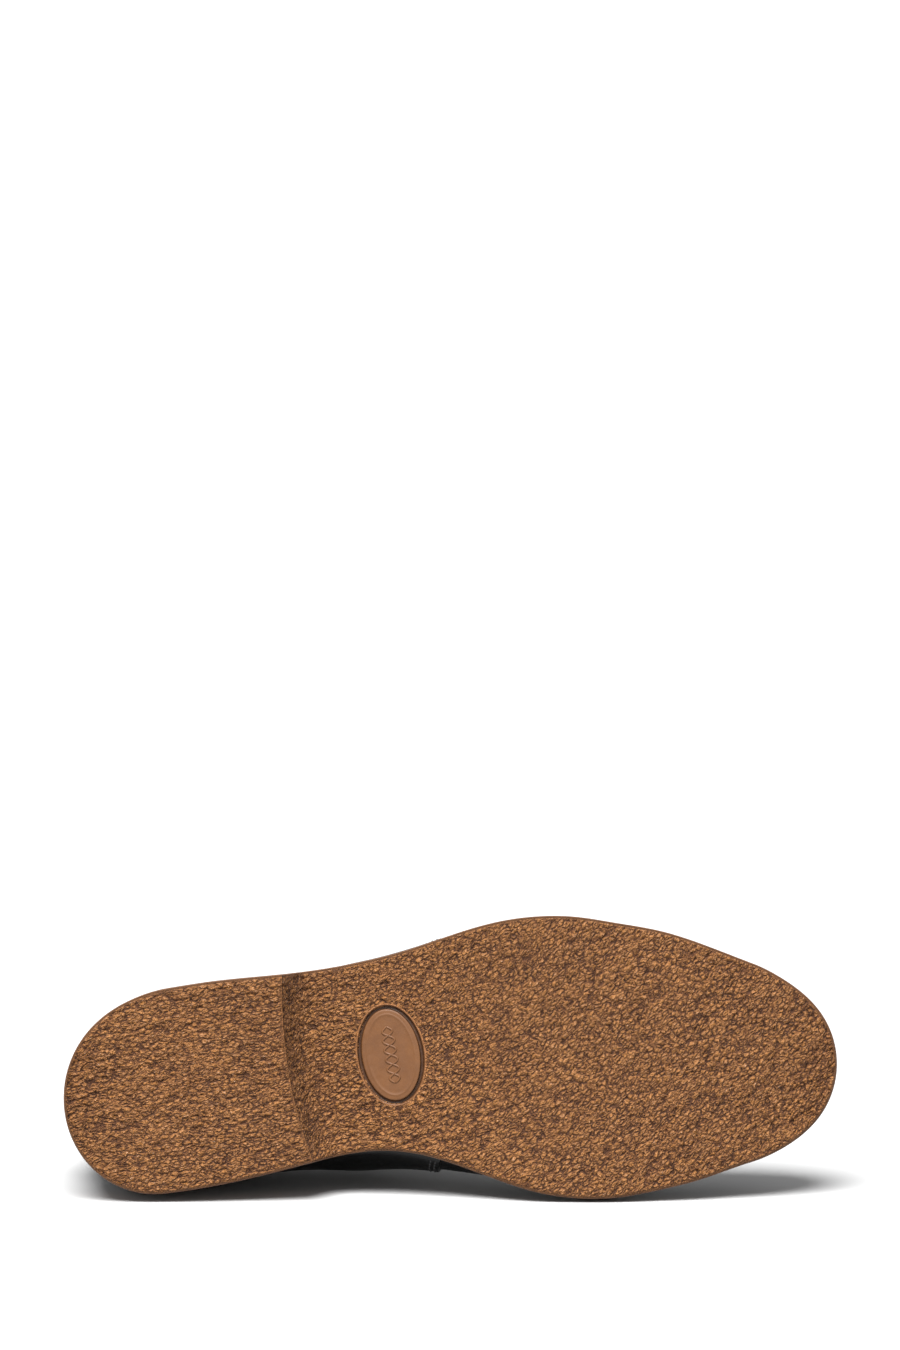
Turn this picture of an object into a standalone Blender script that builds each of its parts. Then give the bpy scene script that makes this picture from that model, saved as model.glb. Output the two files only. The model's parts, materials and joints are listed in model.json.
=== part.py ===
"""Right lace-up shoe: a plain derby in black leather on a crepe-textured rubber sole, lying on its medial side.

Every piece is modelled as the shoe stands: x runs from heel to toe, y to the medial side and z up, with z = 0 on the
plane that heel and forefoot tread on. One empty then lays the whole shoe down, sole edge and upper both on the floor.
"""

import math

import bmesh
import bpy
import numpy as np
from mathutils import Matrix, Vector

# Driving dimensions, in metres
SOLE_LENGTH = 0.300
BALL_WIDTH = 0.109
HEEL_LIFT = 0.0170
TOE_SPRING = 0.0125
OUTSOLE_THICKNESS = 0.0085
MIDSOLE_THICKNESS = 0.0032
UPPER_HEIGHT = 0.0800
FIT_GAP = 0.0003

# Sole: rounded ends, the heel's front face, the tread's rim and the oval medallion under the waist
HEEL_END_DEPTH = 0.040
TOE_END_DEPTH = 0.033
BREAST_AT = 0.0837
BREAST_SWEEP = 0.0128
BREAST_DEPTH = 0.0130
BREAST_CURVE = 2.2
TREAD_RIM_INSET = 0.0009
TREAD_RIM_HEIGHT = 0.0010
OUTSOLE_TOP_INSET = 0.0005
MEDALLION_AT = 0.1267
MEDALLION_SIDE = 0.0
MEDALLION_HALF_WIDTH = 0.0129
MEDALLION_HALF_LENGTH = 0.0195
MEDALLION_TURN = 10.0
GROOVE_WIDTH = 0.0018
GROOVE_DEPTH = 0.0012

# Upper: wall, overlays, the gap that the laces close, eyelets and laces
WALL = 0.0022
QUARTER_STEP = 0.0013
BACKSTRAP_STEP = 0.0010
STEP_RUN = 0.0022
FACING_GAP = 0.0170
SEAM_RING = 0.490
BACKSTRAP_RING = 0.043
EYELET_ROWS = 4
EYELET_INSET = 0.0095
EYELET_PITCH = 0.0155
FIRST_EYELET = 0.0090
EYELET_FLANGE_RADIUS = 0.0037
EYELET_BARREL_RADIUS = 0.0026
EYELET_BORE_RADIUS = 0.0020
EYELET_FLANGE_THICKNESS = 0.0007
LACE_RADIUS = 0.0014
TONGUE_THICKNESS = 0.0028
TONGUE_HALF_WIDTH = 0.0250
TONGUE_ABOVE_FACING = 0.0130
TONGUE_UNDER_VAMP = 0.0090
INSOLE_THICKNESS = 0.0030

# Density of each material in kg/m3, which settles how the shoe lies
RUBBER_DENSITY = 1080.0
LEATHER_DENSITY = 900.0
METAL_DENSITY = 7800.0

MEDIAL, LATERAL = 1.0, -1.0


def table(columns, rows):
    """A table of sections as {column name: array}."""
    return dict(zip(columns.split(), np.array(rows, float).T))


# The sole seen from below. Station is a share of SOLE_LENGTH; centre and half width are shares of BALL_WIDTH
SOLE_OUTLINE = table(
    "station centre half_width",
    [
        (0.000, 0.146, 0.370),
        (0.090, 0.140, 0.369),
        (0.180, 0.112, 0.368),
        (0.280, 0.068, 0.350),
        (0.340, 0.034, 0.340),
        (0.390, 0.006, 0.341),
        (0.440, -0.014, 0.359),
        (0.500, -0.025, 0.406),
        (0.560, -0.021, 0.459),
        (0.615, -0.009, 0.492),
        (0.660, 0.000, 0.500),
        (0.710, 0.009, 0.490),
        (0.770, 0.014, 0.456),
        (0.825, 0.018, 0.411),
        (0.885, 0.021, 0.349),
        (0.925, 0.025, 0.314),
        (0.960, 0.027, 0.298),
        (1.000, 0.027, 0.293),
    ],
)

# The sole from the side. Lift is a share of HEEL_LIFT, spring of TOE_SPRING, thickness of the whole slab
SOLE_PROFILE = table(
    "station lift spring thickness",
    [
        (0.00, 1.02, 0.00, 1.00),
        (0.15, 1.00, 0.00, 1.00),
        (0.28, 0.98, 0.00, 0.98),
        (0.36, 0.88, 0.00, 0.93),
        (0.44, 0.66, 0.00, 0.90),
        (0.52, 0.34, 0.00, 0.93),
        (0.59, 0.08, 0.00, 0.98),
        (0.65, -0.02, -0.02, 1.00),
        (0.71, 0.00, 0.00, 1.00),
        (0.80, 0.00, 0.17, 0.98),
        (0.90, 0.00, 0.52, 0.95),
        (1.00, 0.00, 1.00, 0.92),
    ],
)

# How far the upper's edge lies inside the sole's, in metres. Ring runs along the sole's edge from heel to toe
WELT_MARGIN = table(
    "ring medial lateral",
    [
        (0.00, 0.0038, 0.0038),
        (0.20, 0.0042, 0.0038),
        (0.34, 0.0020, 0.0026),
        (0.45, 0.0010, 0.0020),
        (0.55, 0.0026, 0.0036),
        (0.66, 0.0056, 0.0050),
        (0.80, 0.0052, 0.0050),
        (1.00, 0.0050, 0.0050),
    ],
)

# Ribs of the quarters, from the sole up to the collar and the facing. Top at is a share of SOLE_LENGTH, top centre
# and half width of BALL_WIDTH, and top height of UPPER_HEIGHT above the seat. Leans are degrees from upright, and
# pulls shares of the rib's length
QUARTER_RIBS = table(
    "ring top_at top_centre top_half top_height lean_medial lean_lateral lean_top pull_foot pull_top",
    [
        (0.000, 0.027, 0.146, 0.000, 0.765, 19, 19, 12, 0.36, 0.36),
        (0.060, 0.036, 0.146, 0.112, 0.755, 18, 18, 11, 0.36, 0.36),
        (0.130, 0.080, 0.143, 0.226, 0.722, 7, 13, 5, 0.34, 0.35),
        (0.215, 0.170, 0.132, 0.276, 0.672, 5, 11, 3, 0.33, 0.34),
        (0.290, 0.262, 0.106, 0.252, 0.690, 13, 13, 14, 0.36, 0.36),
        (0.345, 0.335, 0.082, 0.190, 0.850, 22, 15, 30, 0.37, 0.38),
        (0.375, 0.372, 0.070, 0.110, 0.985, 26, 16, 52, 0.38, 0.40),
        (0.400, 0.410, 0.060, 0.084, 0.975, 30, 17, 64, 0.38, 0.40),
        (0.445, 0.480, 0.046, 0.079, 0.850, 37, 16, 69, 0.39, 0.38),
    ],
)

# Ribs of the vamp, from the sole up to the ridge line; same columns, with the ridge as the top
VAMP_RIBS = table(
    "ring top_at top_centre top_height lean_medial lean_lateral pull_foot pull_top",
    [
        (0.490, 0.562, 0.036, 0.735, 42, 15, 0.38, 0.44),
        (0.560, 0.632, 0.031, 0.640, 24, 12, 0.33, 0.46),
        (0.640, 0.705, 0.028, 0.560, 9, 8, 0.32, 0.48),
        (0.730, 0.780, 0.026, 0.490, 5, 6, 0.34, 0.50),
        (0.820, 0.848, 0.025, 0.425, 5, 6, 0.37, 0.50),
        (0.900, 0.893, 0.026, 0.375, 6, 6, 0.40, 0.50),
        (0.960, 0.914, 0.027, 0.345, 7, 7, 0.42, 0.50),
        (1.000, 0.920, 0.027, 0.335, 7, 7, 0.43, 0.50),
    ],
)


def natural_spline(knots, values):
    """A smooth curve through values at rising knots, as a function of place. Values may be numbers or points."""
    knots = np.asarray(knots, float)
    values = np.asarray(values, float)
    flat = values.ndim == 1
    values = values.reshape(len(knots), -1)
    gaps = np.diff(knots)
    slopes = np.diff(values, axis=0) / gaps[:, None]
    system = np.eye(len(knots))
    bends = np.zeros_like(values)
    for row in range(1, len(knots) - 1):
        system[row, row - 1 : row + 2] = gaps[row - 1], 2 * (gaps[row - 1] + gaps[row]), gaps[row]
        bends[row] = 6 * (slopes[row] - slopes[row - 1])
    bends = np.linalg.solve(system, bends)

    def at(place):
        place = np.clip(np.asarray(place, float), knots[0], knots[-1])
        row = np.clip(np.searchsorted(knots, place) - 1, 0, len(gaps) - 1)
        gap = gaps[row][..., None]
        after = (place - knots[row])[..., None]
        before = gap - after
        found = (bends[row] * before**3 + bends[row + 1] * after**3) / (6 * gap)
        found = found + (values[row] / gap - bends[row] * gap / 6) * before
        found = found + (values[row + 1] / gap - bends[row + 1] * gap / 6) * after
        return found[..., 0] if flat else found

    return at


def unit(vectors):
    """Vectors scaled to length 1."""
    vectors = np.asarray(vectors, float)
    return vectors / np.linalg.norm(vectors, axis=-1, keepdims=True)


def smooth_step(low, high, place):
    """0 below low, 1 above high and a smooth rise between them."""
    share = np.clip((np.asarray(place, float) - low) / (high - low), 0, 1)
    return share * share * (3 - 2 * share)


# Sole outline

outline_centre = natural_spline(SOLE_OUTLINE["station"], SOLE_OUTLINE["centre"])
outline_half = natural_spline(SOLE_OUTLINE["station"], SOLE_OUTLINE["half_width"])


def centre_line(x):
    """The middle of the sole's width at a distance from the heel."""
    return outline_centre(np.asarray(x) / SOLE_LENGTH) * BALL_WIDTH


def end_rounding(x):
    """The share of the width that is left in the heel's and the toe's round ends."""
    x = np.asarray(x, float)
    heel = np.clip(1 - x / HEEL_END_DEPTH, 0, 1)
    toe = np.clip(1 - (SOLE_LENGTH - x) / TOE_END_DEPTH, 0, 1)
    return np.sqrt(np.clip(1 - heel**2, 0, 1)) * np.sqrt(np.clip(1 - toe**2, 0, 1))


def sole_side(side, count=1500):
    """One side of the outline from heel to toe: its points, outward normals and ring, the share of its length."""
    x = SOLE_LENGTH * (1 - np.cos(np.linspace(0, math.pi, count))) / 2
    half = outline_half(x / SOLE_LENGTH) * BALL_WIDTH * end_rounding(x)
    points = np.stack([x, centre_line(x) + side * half], axis=1)
    along = unit(np.gradient(points, axis=0))
    normals = np.stack([-along[:, 1], along[:, 0]], axis=1) * side
    normals[0], normals[-1] = (-1, 0), (1, 0)
    steps = np.linalg.norm(np.diff(points, axis=0), axis=1)
    ring = np.concatenate([[0], np.cumsum(steps)])
    return points, normals, ring / ring[-1]


SOLE_SIDES = {side: sole_side(side) for side in (MEDIAL, LATERAL)}


def edge_at_ring(side, ring, inset):
    """The point of the sole's edge at a ring share, moved inwards by inset, and the outward normal there."""
    points, normals, rings = SOLE_SIDES[side]
    point = np.array([np.interp(ring, rings, points[:, axis]) for axis in range(2)])
    normal = unit([np.interp(ring, rings, normals[:, axis]) for axis in range(2)])
    return point - normal * inset, normal


def edge_at_x(side, x, inset):
    """The y of the sole's edge, moved inwards by inset, at a distance from the heel."""
    points, normals, _ = SOLE_SIDES[side]
    moved = points - normals * inset
    return np.interp(x, moved[:, 0], moved[:, 1])


# Heights of the sole's layers

profile_lift = natural_spline(SOLE_PROFILE["station"], SOLE_PROFILE["lift"])
profile_spring = natural_spline(SOLE_PROFILE["station"], SOLE_PROFILE["spring"])
profile_thickness = natural_spline(SOLE_PROFILE["station"], SOLE_PROFILE["thickness"])


def slab_underside(x):
    """The underside of the sole without its heel; the forefoot's flat spot is where it is cut off at the ground."""
    station = np.asarray(x) / SOLE_LENGTH
    return np.maximum(profile_lift(station) * HEEL_LIFT + profile_spring(station) * TOE_SPRING, 0)


def outsole_top(x):
    station = np.asarray(x) / SOLE_LENGTH
    rise = profile_lift(station) * HEEL_LIFT + profile_spring(station) * TOE_SPRING
    return rise + profile_thickness(station) * OUTSOLE_THICKNESS


def midsole_top(x):
    return outsole_top(x) + FIT_GAP + MIDSOLE_THICKNESS


# Rungs cross the sole from its lateral to its medial edge. Near the heel's front face they bow as its edge does


def rung_sweep(x):
    """How much of the heel's bowed front edge a rung follows."""
    rise = np.clip(np.asarray(x) / BREAST_AT, 0, 1) ** 2
    return rise * (1 - smooth_step(BREAST_AT + BREAST_DEPTH, 0.62 * SOLE_LENGTH, x))


def rung_places(heel_count, fore_count):
    """Where the rungs meet the lateral edge, with one on the heel's front edge and some across its hollow face."""
    heel = BREAST_AT * (1 - np.cos(np.linspace(0, math.pi / 2, heel_count)))
    breast = BREAST_AT + BREAST_DEPTH * np.array([0.15, 0.35, 0.6, 0.85])
    start = BREAST_AT + 1.15 * BREAST_DEPTH
    fore = start + (SOLE_LENGTH - start) * np.sin(np.linspace(0, math.pi / 2, fore_count))
    return np.concatenate([heel, breast, fore])


def rung_points(places, shares, inset):
    """Points on every rung at shares of its width, 0 at the lateral edge, for an outline moved inwards by inset."""
    scale = (SOLE_LENGTH - 2 * inset) / SOLE_LENGTH
    shares = np.asarray(shares, float)
    lateral_x = inset + places * scale
    sweep = BREAST_SWEEP * rung_sweep(places)
    medial_x = inset + (places + sweep) * scale
    low = edge_at_x(LATERAL, lateral_x, inset)
    high = edge_at_x(MEDIAL, medial_x, inset)
    x = lateral_x[:, None] + (medial_x - lateral_x)[:, None] * shares**BREAST_CURVE
    y = low[:, None] + (high - low)[:, None] * shares
    return x, y


def tread_height(x, shares, places):
    """The tread: flat under the heel, then the heel's hollow front face, then the underside of the slab."""
    edge = BREAST_AT + BREAST_SWEEP * np.asarray(shares) ** BREAST_CURVE
    past = np.clip((x - edge) / BREAST_DEPTH, 0, 1)
    on_heel = places[:, None] <= BREAST_AT + 1e-9
    return np.where(on_heel, 0.0, slab_underside(x) * (1 - (1 - past) ** 2))


# Meshes


def new_object(name, vertices, faces, material=None):
    """A mesh object in the scene with outward faces, shaded smooth up to sharp edges; a cutter's faces stay flat."""
    mesh = bpy.data.meshes.new(name)
    mesh.from_pydata([tuple(map(float, point)) for point in vertices], [], faces)
    made = bmesh.new()
    made.from_mesh(mesh)
    bmesh.ops.remove_doubles(made, verts=made.verts, dist=1e-6)
    bmesh.ops.recalc_face_normals(made, faces=made.faces)
    made.to_mesh(mesh)
    made.free()
    if material:
        mesh.shade_smooth()
        mesh.set_sharp_from_angle(angle=math.radians(35))
        mesh.materials.append(material)
    shown = bpy.data.objects.new(name, mesh)
    bpy.context.scene.collection.objects.link(shown)
    return shown


def principled(name, colour, roughness, metallic=0.0):
    """A Principled BSDF material."""
    material = bpy.data.materials.new(name)
    material.use_nodes = True
    shader = material.node_tree.nodes["Principled BSDF"]
    shader.inputs["Base Color"].default_value = (*colour, 1)
    shader.inputs["Roughness"].default_value = roughness
    shader.inputs["Metallic"].default_value = metallic
    return material


def solid_from_rungs(name, places, layers, material):
    """A closed solid through layers of rungs, from the lowest to the highest. The first and last are its faces."""
    vertices = []
    faces = []
    starts = []
    for x, y, z in layers:
        starts.append(len(vertices))
        vertices += list(np.stack([x, y, z], axis=-1).reshape(-1, 3))
    rungs = len(places)

    def corner(layer, rung, column):
        return starts[layer] + rung * layers[layer][0].shape[1] + column

    for layer in (0, len(layers) - 1):
        columns = layers[layer][0].shape[1]
        for rung in range(rungs - 1):
            for column in range(columns - 1):
                ends = [(rung, column), (rung + 1, column), (rung + 1, column + 1), (rung, column + 1)]
                faces.append([corner(layer, *end) for end in ends])
    for layer in range(len(layers) - 1):
        for side_column in (0, -1):
            for rung in range(rungs - 1):
                quad = []
                ends = [(layer, rung), (layer, rung + 1), (layer + 1, rung + 1), (layer + 1, rung)]
                for this_layer, this_rung in ends:
                    columns = layers[this_layer][0].shape[1]
                    quad.append(corner(this_layer, this_rung, side_column % columns))
                faces.append(quad)
    return new_object(name, vertices, faces, material)


def flat_layer(places, inset, height, shares=(0.0, 1.0)):
    """A layer of rungs at the height that a function of x gives."""
    x, y = rung_points(places, shares, inset)
    return x, y, height(x)


def make_outsole(material):
    """The moulded sole with its heel, waist, toe spring, tread rim and the medallion's groove."""
    places = rung_places(12, 24)
    shares = np.linspace(0, 1, 7)
    x, y = rung_points(places, shares, TREAD_RIM_INSET)
    tread = (x, y, tread_height(x, shares, places))
    edge_x, edge_y = rung_points(places, (0.0, 1.0), 0)
    rim_z = tread[2][:, [0, -1]] + TREAD_RIM_HEIGHT
    rim = (edge_x, edge_y, rim_z)
    shoulder = (edge_x, edge_y, outsole_top(edge_x) - OUTSOLE_TOP_INSET)
    top = flat_layer(places, OUTSOLE_TOP_INSET, outsole_top)
    sole = solid_from_rungs("outsole", places, [tread, rim, shoulder, top], material)
    cut(sole, medallion_groove())
    return sole


def medallion_groove():
    """The ring that is cut round the medallion: an elliptical wall standing on the sloping waist."""
    count = 40
    deep = GROOVE_DEPTH + OUTSOLE_THICKNESS * 0.3
    vertices = []
    for shrink, z in ((0, -deep), (0, GROOVE_DEPTH), (GROOVE_WIDTH, GROOVE_DEPTH), (GROOVE_WIDTH, -deep)):
        for step in range(count):
            angle = 2 * math.pi * step / count
            vertices.append(
                (
                    (MEDALLION_HALF_WIDTH - shrink) * math.cos(angle),
                    (MEDALLION_HALF_LENGTH - shrink) * math.sin(angle),
                    z,
                )
            )
    faces = []
    for band in range(4):
        for step in range(count):
            after = (step + 1) % count
            here, there = band * count, (band + 1) % 4 * count
            faces.append([here + step, here + after, there + after, there + step])
    ring = new_object("medallion_groove", vertices, faces)
    reach = 0.01
    slope = (slab_underside(MEDALLION_AT + reach) - slab_underside(MEDALLION_AT - reach)) / (2 * reach)
    ring.location = (MEDALLION_AT, MEDALLION_SIDE, float(slab_underside(MEDALLION_AT)))
    ring.rotation_euler = (0, -math.atan(slope), -math.radians(MEDALLION_TURN))
    return ring


def cut(target, cutter):
    """Cuts one object out of another and keeps the cutter as a hidden helper."""
    cutter.hide_render = True
    cutter.display_type = "WIRE"
    modifier = target.modifiers.new("cut_" + cutter.name, "BOOLEAN")
    modifier.operation = "DIFFERENCE"
    modifier.object = cutter


def make_midsole(material):
    """The thin layer between outsole and upper, whose edge is the welt."""
    places = rung_places(12, 24)

    def bottom(x):
        return outsole_top(x) + FIT_GAP

    layers = [
        flat_layer(places, OUTSOLE_TOP_INSET, bottom),
        flat_layer(places, 0, lambda x: bottom(x) + OUTSOLE_TOP_INSET),
        flat_layer(places, 0, lambda x: midsole_top(x) - OUTSOLE_TOP_INSET),
        flat_layer(places, OUTSOLE_TOP_INSET, midsole_top),
    ]
    return solid_from_rungs("midsole", places, layers, material)


# Upper: every rib is a cubic curve with four control points, from the sole's edge to the collar, facing or ridge

margin_curves = {
    MEDIAL: natural_spline(WELT_MARGIN["ring"], WELT_MARGIN["medial"]),
    LATERAL: natural_spline(WELT_MARGIN["ring"], WELT_MARGIN["lateral"]),
}


def foot_of_rib(side, ring):
    """Where a rib starts on the midsole, and the outward direction there."""
    (x, y), normal = edge_at_ring(side, ring, margin_curves[side](ring))
    return np.array([x, y, midsole_top(x) + FIT_GAP]), np.array([normal[0], normal[1], 0])


def rib_controls(side, ring, top, foot_lean, pull_foot, top_way, pull_top):
    """The rib's control points, as the three that follow its foot."""
    foot, outward = foot_of_rib(side, ring)
    chord = np.linalg.norm(top - foot)
    lean = math.radians(foot_lean)
    up = np.array([0, 0, 1.0])
    second = foot + chord * pull_foot * (math.cos(lean) * up + math.sin(lean) * outward)
    third = top + chord * pull_top * top_way
    return np.array([second, third, top])


def seat_height(x):
    return midsole_top(np.clip(x, 0, SOLE_LENGTH))


def lean_column(side):
    return "lean_medial" if side == MEDIAL else "lean_lateral"


def ridge_point(row):
    x = VAMP_RIBS["top_at"][row] * SOLE_LENGTH
    height = seat_height(x) + VAMP_RIBS["top_height"][row] * UPPER_HEIGHT
    return np.array([x, VAMP_RIBS["top_centre"][row] * BALL_WIDTH, float(height)])


def vamp_controls(side):
    """A curve of control points for the vamp's ribs on one side."""
    ridge = np.array([ridge_point(row) for row in range(len(VAMP_RIBS["ring"]))])
    ridge_slope = np.gradient(ridge[:, 2]) / np.gradient(ridge[:, 0])
    rows = []
    for row, ring in enumerate(VAMP_RIBS["ring"]):
        foot, _ = foot_of_rib(side, ring)
        ahead = foot[:2] - ridge[row][:2]
        way = unit([ahead[0], ahead[1], ahead[0] * ridge_slope[row]])
        rows.append(
            rib_controls(
                side,
                ring,
                ridge[row],
                VAMP_RIBS[lean_column(side)][row],
                VAMP_RIBS["pull_foot"][row],
                way,
                VAMP_RIBS["pull_top"][row],
            )
        )
    return natural_spline(VAMP_RIBS["ring"], np.array(rows).reshape(len(rows), 9))


def split_curve(points, share):
    """The control points of a cubic curve's first stretch."""
    first = [a + (b - a) * share for a, b in zip(points, points[1:])]
    second = [a + (b - a) * share for a, b in zip(first, first[1:])]
    third = second[0] + (second[1] - second[0]) * share
    return np.array([points[0], first[0], second[0], third])


def curve_at(points, shares):
    """Points on a cubic curve."""
    t = np.asarray(shares, float)[:, None]
    first, second, third, last = points
    return (1 - t) ** 3 * first + 3 * (1 - t) ** 2 * t * second + 3 * (1 - t) * t**2 * third + t**3 * last


def share_at_length(points, length, from_top):
    """The share of a cubic curve that lies a given length from its foot or its top."""
    shares = np.linspace(0, 1, 241)
    steps = np.linalg.norm(np.diff(curve_at(points, shares), axis=0), axis=1)
    run = np.concatenate([[0], np.cumsum(steps)])
    return float(np.interp(run[-1] - length if from_top else length, run, shares))


VAMP = {side: vamp_controls(side) for side in (MEDIAL, LATERAL)}


def vamp_rib(side, ring):
    foot, _ = foot_of_rib(side, ring)
    return np.vstack([foot, VAMP[side](ring).reshape(3, 3)])


THROAT_SHARE = {side: share_at_length(vamp_rib(side, SEAM_RING), FACING_GAP / 2, True) for side in (MEDIAL, LATERAL)}


def quarter_controls(side):
    """A curve of control points for the quarter's ribs. Its last rib lies on the vamp's first, up to the facing."""
    rows = []
    for row, ring in enumerate(QUARTER_RIBS["ring"]):
        foot, outward = foot_of_rib(side, ring)
        x = QUARTER_RIBS["top_at"][row] * SOLE_LENGTH
        y = (QUARTER_RIBS["top_centre"][row] + side * QUARTER_RIBS["top_half"][row]) * BALL_WIDTH
        top = np.array([x, y, float(seat_height(x) + QUARTER_RIBS["top_height"][row] * UPPER_HEIGHT)])
        lean = math.radians(QUARTER_RIBS["lean_top"][row])
        way = -math.cos(lean) * np.array([0, 0, 1.0]) + math.sin(lean) * outward
        rows.append(
            rib_controls(
                side,
                ring,
                top,
                QUARTER_RIBS[lean_column(side)][row],
                QUARTER_RIBS["pull_foot"][row],
                way,
                QUARTER_RIBS["pull_top"][row],
            )
        )
    rows.append(split_curve(vamp_rib(side, SEAM_RING), THROAT_SHARE[side])[1:])
    rings = np.append(QUARTER_RIBS["ring"], SEAM_RING)
    return natural_spline(rings, np.array(rows).reshape(len(rows), 9))


QUARTER = {side: quarter_controls(side) for side in (MEDIAL, LATERAL)}


def quarter_rib(side, ring):
    foot, _ = foot_of_rib(side, ring)
    return np.vstack([foot, QUARTER[side](ring).reshape(3, 3)])


def overlay_level(ring):
    """How far the quarters and the strap down the heel stand out from the vamp's level."""
    seam = 1 - smooth_step(SEAM_RING - 0.006, SEAM_RING, ring)
    strap = 1 - smooth_step(BACKSTRAP_RING, BACKSTRAP_RING + 0.006, ring)
    return QUARTER_STEP * seam + BACKSTRAP_STEP * strap


def upper_rings():
    """Ring shares of the ribs: quarters, with close pairs at the steps, then vamp."""
    strap = np.array([0, 0.5, 1]) * BACKSTRAP_RING
    quarter = np.linspace(BACKSTRAP_RING + 0.006, SEAM_RING - 0.006, 22)
    vamp = SEAM_RING + (1 - SEAM_RING) * np.linspace(0, 1, 17)
    return np.concatenate([strap, quarter]), vamp


def rib_grid(rows, closed_rows):
    """The base surface as ribs round the shoe, medial from heel to toe and then lateral back to the heel.

    Every rib has rows steps up to the facing's level; the vamp's ribs go on from there to the ridge.
    """
    quarter_rings, vamp_rings = upper_rings()
    shares = np.linspace(0, 1, rows + 1)
    ribs = []
    for side in (MEDIAL, LATERAL):
        one_side = []
        for ring in quarter_rings:
            one_side.append((ring, curve_at(quarter_rib(side, ring), shares)))
        for ring in vamp_rings:
            throat = share_at_length(vamp_rib(side, ring), FACING_GAP / 2, True)
            fading = smooth_step(SEAM_RING, 1, ring)
            split = THROAT_SHARE[side] + (0.86 - THROAT_SHARE[side]) * fading
            split = min(split, max(throat, THROAT_SHARE[side]))
            closed = np.concatenate([shares * split, np.linspace(split, 1, closed_rows + 1)[1:]])
            one_side.append((ring, curve_at(vamp_rib(side, ring), closed)))
        ribs.append(one_side)
    medial, lateral = ribs
    return medial + lateral[-2:0:-1]


def grid_normals(ribs, rows):
    """Outward unit normals of the base surface at every point of its ribs."""
    count = len(ribs)
    toe = count // 2
    normals = []
    for index, (_, points) in enumerate(ribs):
        before, after = ribs[index - 1][1], ribs[(index + 1) % count][1]
        last = len(points) - 1
        found = []
        for row in range(last + 1):
            ahead = after[row] if row < len(after) else points[row]
            behind = before[row] if row < len(before) else points[row]
            mirrored = ribs[(2 * toe - index) % count][1]
            above = points[row + 1] if row < last else mirrored[last - 1] if last > rows else points[row]
            below = points[row - 1] if row > 0 else points[row]
            found.append(np.cross(ahead - behind, above - below))
        if index == toe:
            found[last] = normals[-1][-1]
        normals.append(unit(found))
    return normals


def make_upper(material):
    """The whole upper as one hollow wall, open at the collar, at the throat and underneath."""
    rows, closed_rows = 11, 4
    ribs = rib_grid(rows, closed_rows)
    normals = grid_normals(ribs, rows)
    count = len(ribs)
    toe = count // 2
    outside = math.copysign(1, normals[count // 4][rows // 2][1])
    vertices = []
    index_of = {}
    for layer in ("outer", "inner"):
        for rib, (ring, points) in enumerate(ribs):
            for row, point in enumerate(points):
                if row > rows and row == len(points) - 1 and rib > toe:
                    index_of[layer, rib, row] = index_of[layer, 2 * toe - rib, row]
                    continue
                away = normals[rib][row] * outside
                moved = point + away * (overlay_level(ring) if layer == "outer" else -WALL)
                if row == 0:
                    moved = np.array([moved[0], moved[1], float(midsole_top(moved[0])) + FIT_GAP])
                index_of[layer, rib, row] = len(vertices)
                vertices.append(moved)
    faces = []
    for rib in range(count):
        after = (rib + 1) % count
        shared = min(len(ribs[rib][1]), len(ribs[after][1]))
        for row in range(shared - 1):
            for layer in ("outer", "inner"):
                corners = [(rib, row), (after, row), (after, row + 1), (rib, row + 1)]
                quad = list(dict.fromkeys(index_of[(layer, *corner)] for corner in corners))
                faces.append(quad if layer == "outer" else quad[::-1])
        faces.append(band(index_of, (rib, 0), (after, 0)))
        if shared == rows + 1:
            faces.append(band(index_of, (rib, rows), (after, rows)))
        longer = rib if len(ribs[rib][1]) > shared else after
        if len(ribs[longer][1]) > shared:
            for row in range(rows, len(ribs[longer][1]) - 1):
                faces.append(band(index_of, (longer, row), (longer, row + 1)))
    upper = new_object("upper", vertices, faces, material)
    cut(upper, eyelet_holes())
    return upper


def band(index_of, start, end):
    """A face of the wall's edge, between its outer and its inner surface."""
    corners = [("outer", *start), ("outer", *end), ("inner", *end), ("inner", *start)]
    return [index_of[corner] for corner in corners]


# Instep: the surface under the laces, from facing to facing, which the tongue and the laces follow


def instep_section(ring, reach, count):
    """Points across the closed instep at one rib, at equal steps of arc from reach medially to reach laterally."""
    halves = {}
    for side in (MEDIAL, LATERAL):
        if ring <= SEAM_RING:
            rib = quarter_rib(side, ring)
            low = share_at_length(rib, reach, True)
            halves[side] = curve_at(rib, np.linspace(low, 1, 40))
        else:
            rib = vamp_rib(side, ring)
            low = share_at_length(rib, reach + FACING_GAP / 2, True)
            halves[side] = curve_at(rib, np.linspace(low, 1, 60))
    medial, lateral = halves[MEDIAL], halves[LATERAL][::-1]
    if ring <= SEAM_RING:
        start, end = medial[-1], lateral[0]
        span = np.linalg.norm(end - start)
        leave = unit(medial[-1] - medial[-3]) * span * 0.36
        arrive = unit(lateral[0] - lateral[2]) * span * 0.36
        bridge = curve_at([start, start + leave, end + arrive, end], np.linspace(0, 1, 31)[1:-1])
        path = np.vstack([medial, bridge, lateral])
    else:
        path = np.vstack([medial, lateral[1:]])
    run = np.concatenate([[0], np.cumsum(np.linalg.norm(np.diff(path, axis=0), axis=1))])
    middle = run[-1] / 2
    places = middle + np.linspace(-reach, reach, count)
    return np.stack([np.interp(places, run, path[:, axis]) for axis in range(3)], axis=1)


def surface_normals(grid):
    """Upward unit normals of a grid of points [along, across]."""
    along = np.gradient(grid, axis=0)
    across = np.gradient(grid, axis=1)
    found = unit(np.cross(across, along))
    return found * np.sign(found[:, :, 2:].mean())


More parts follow.
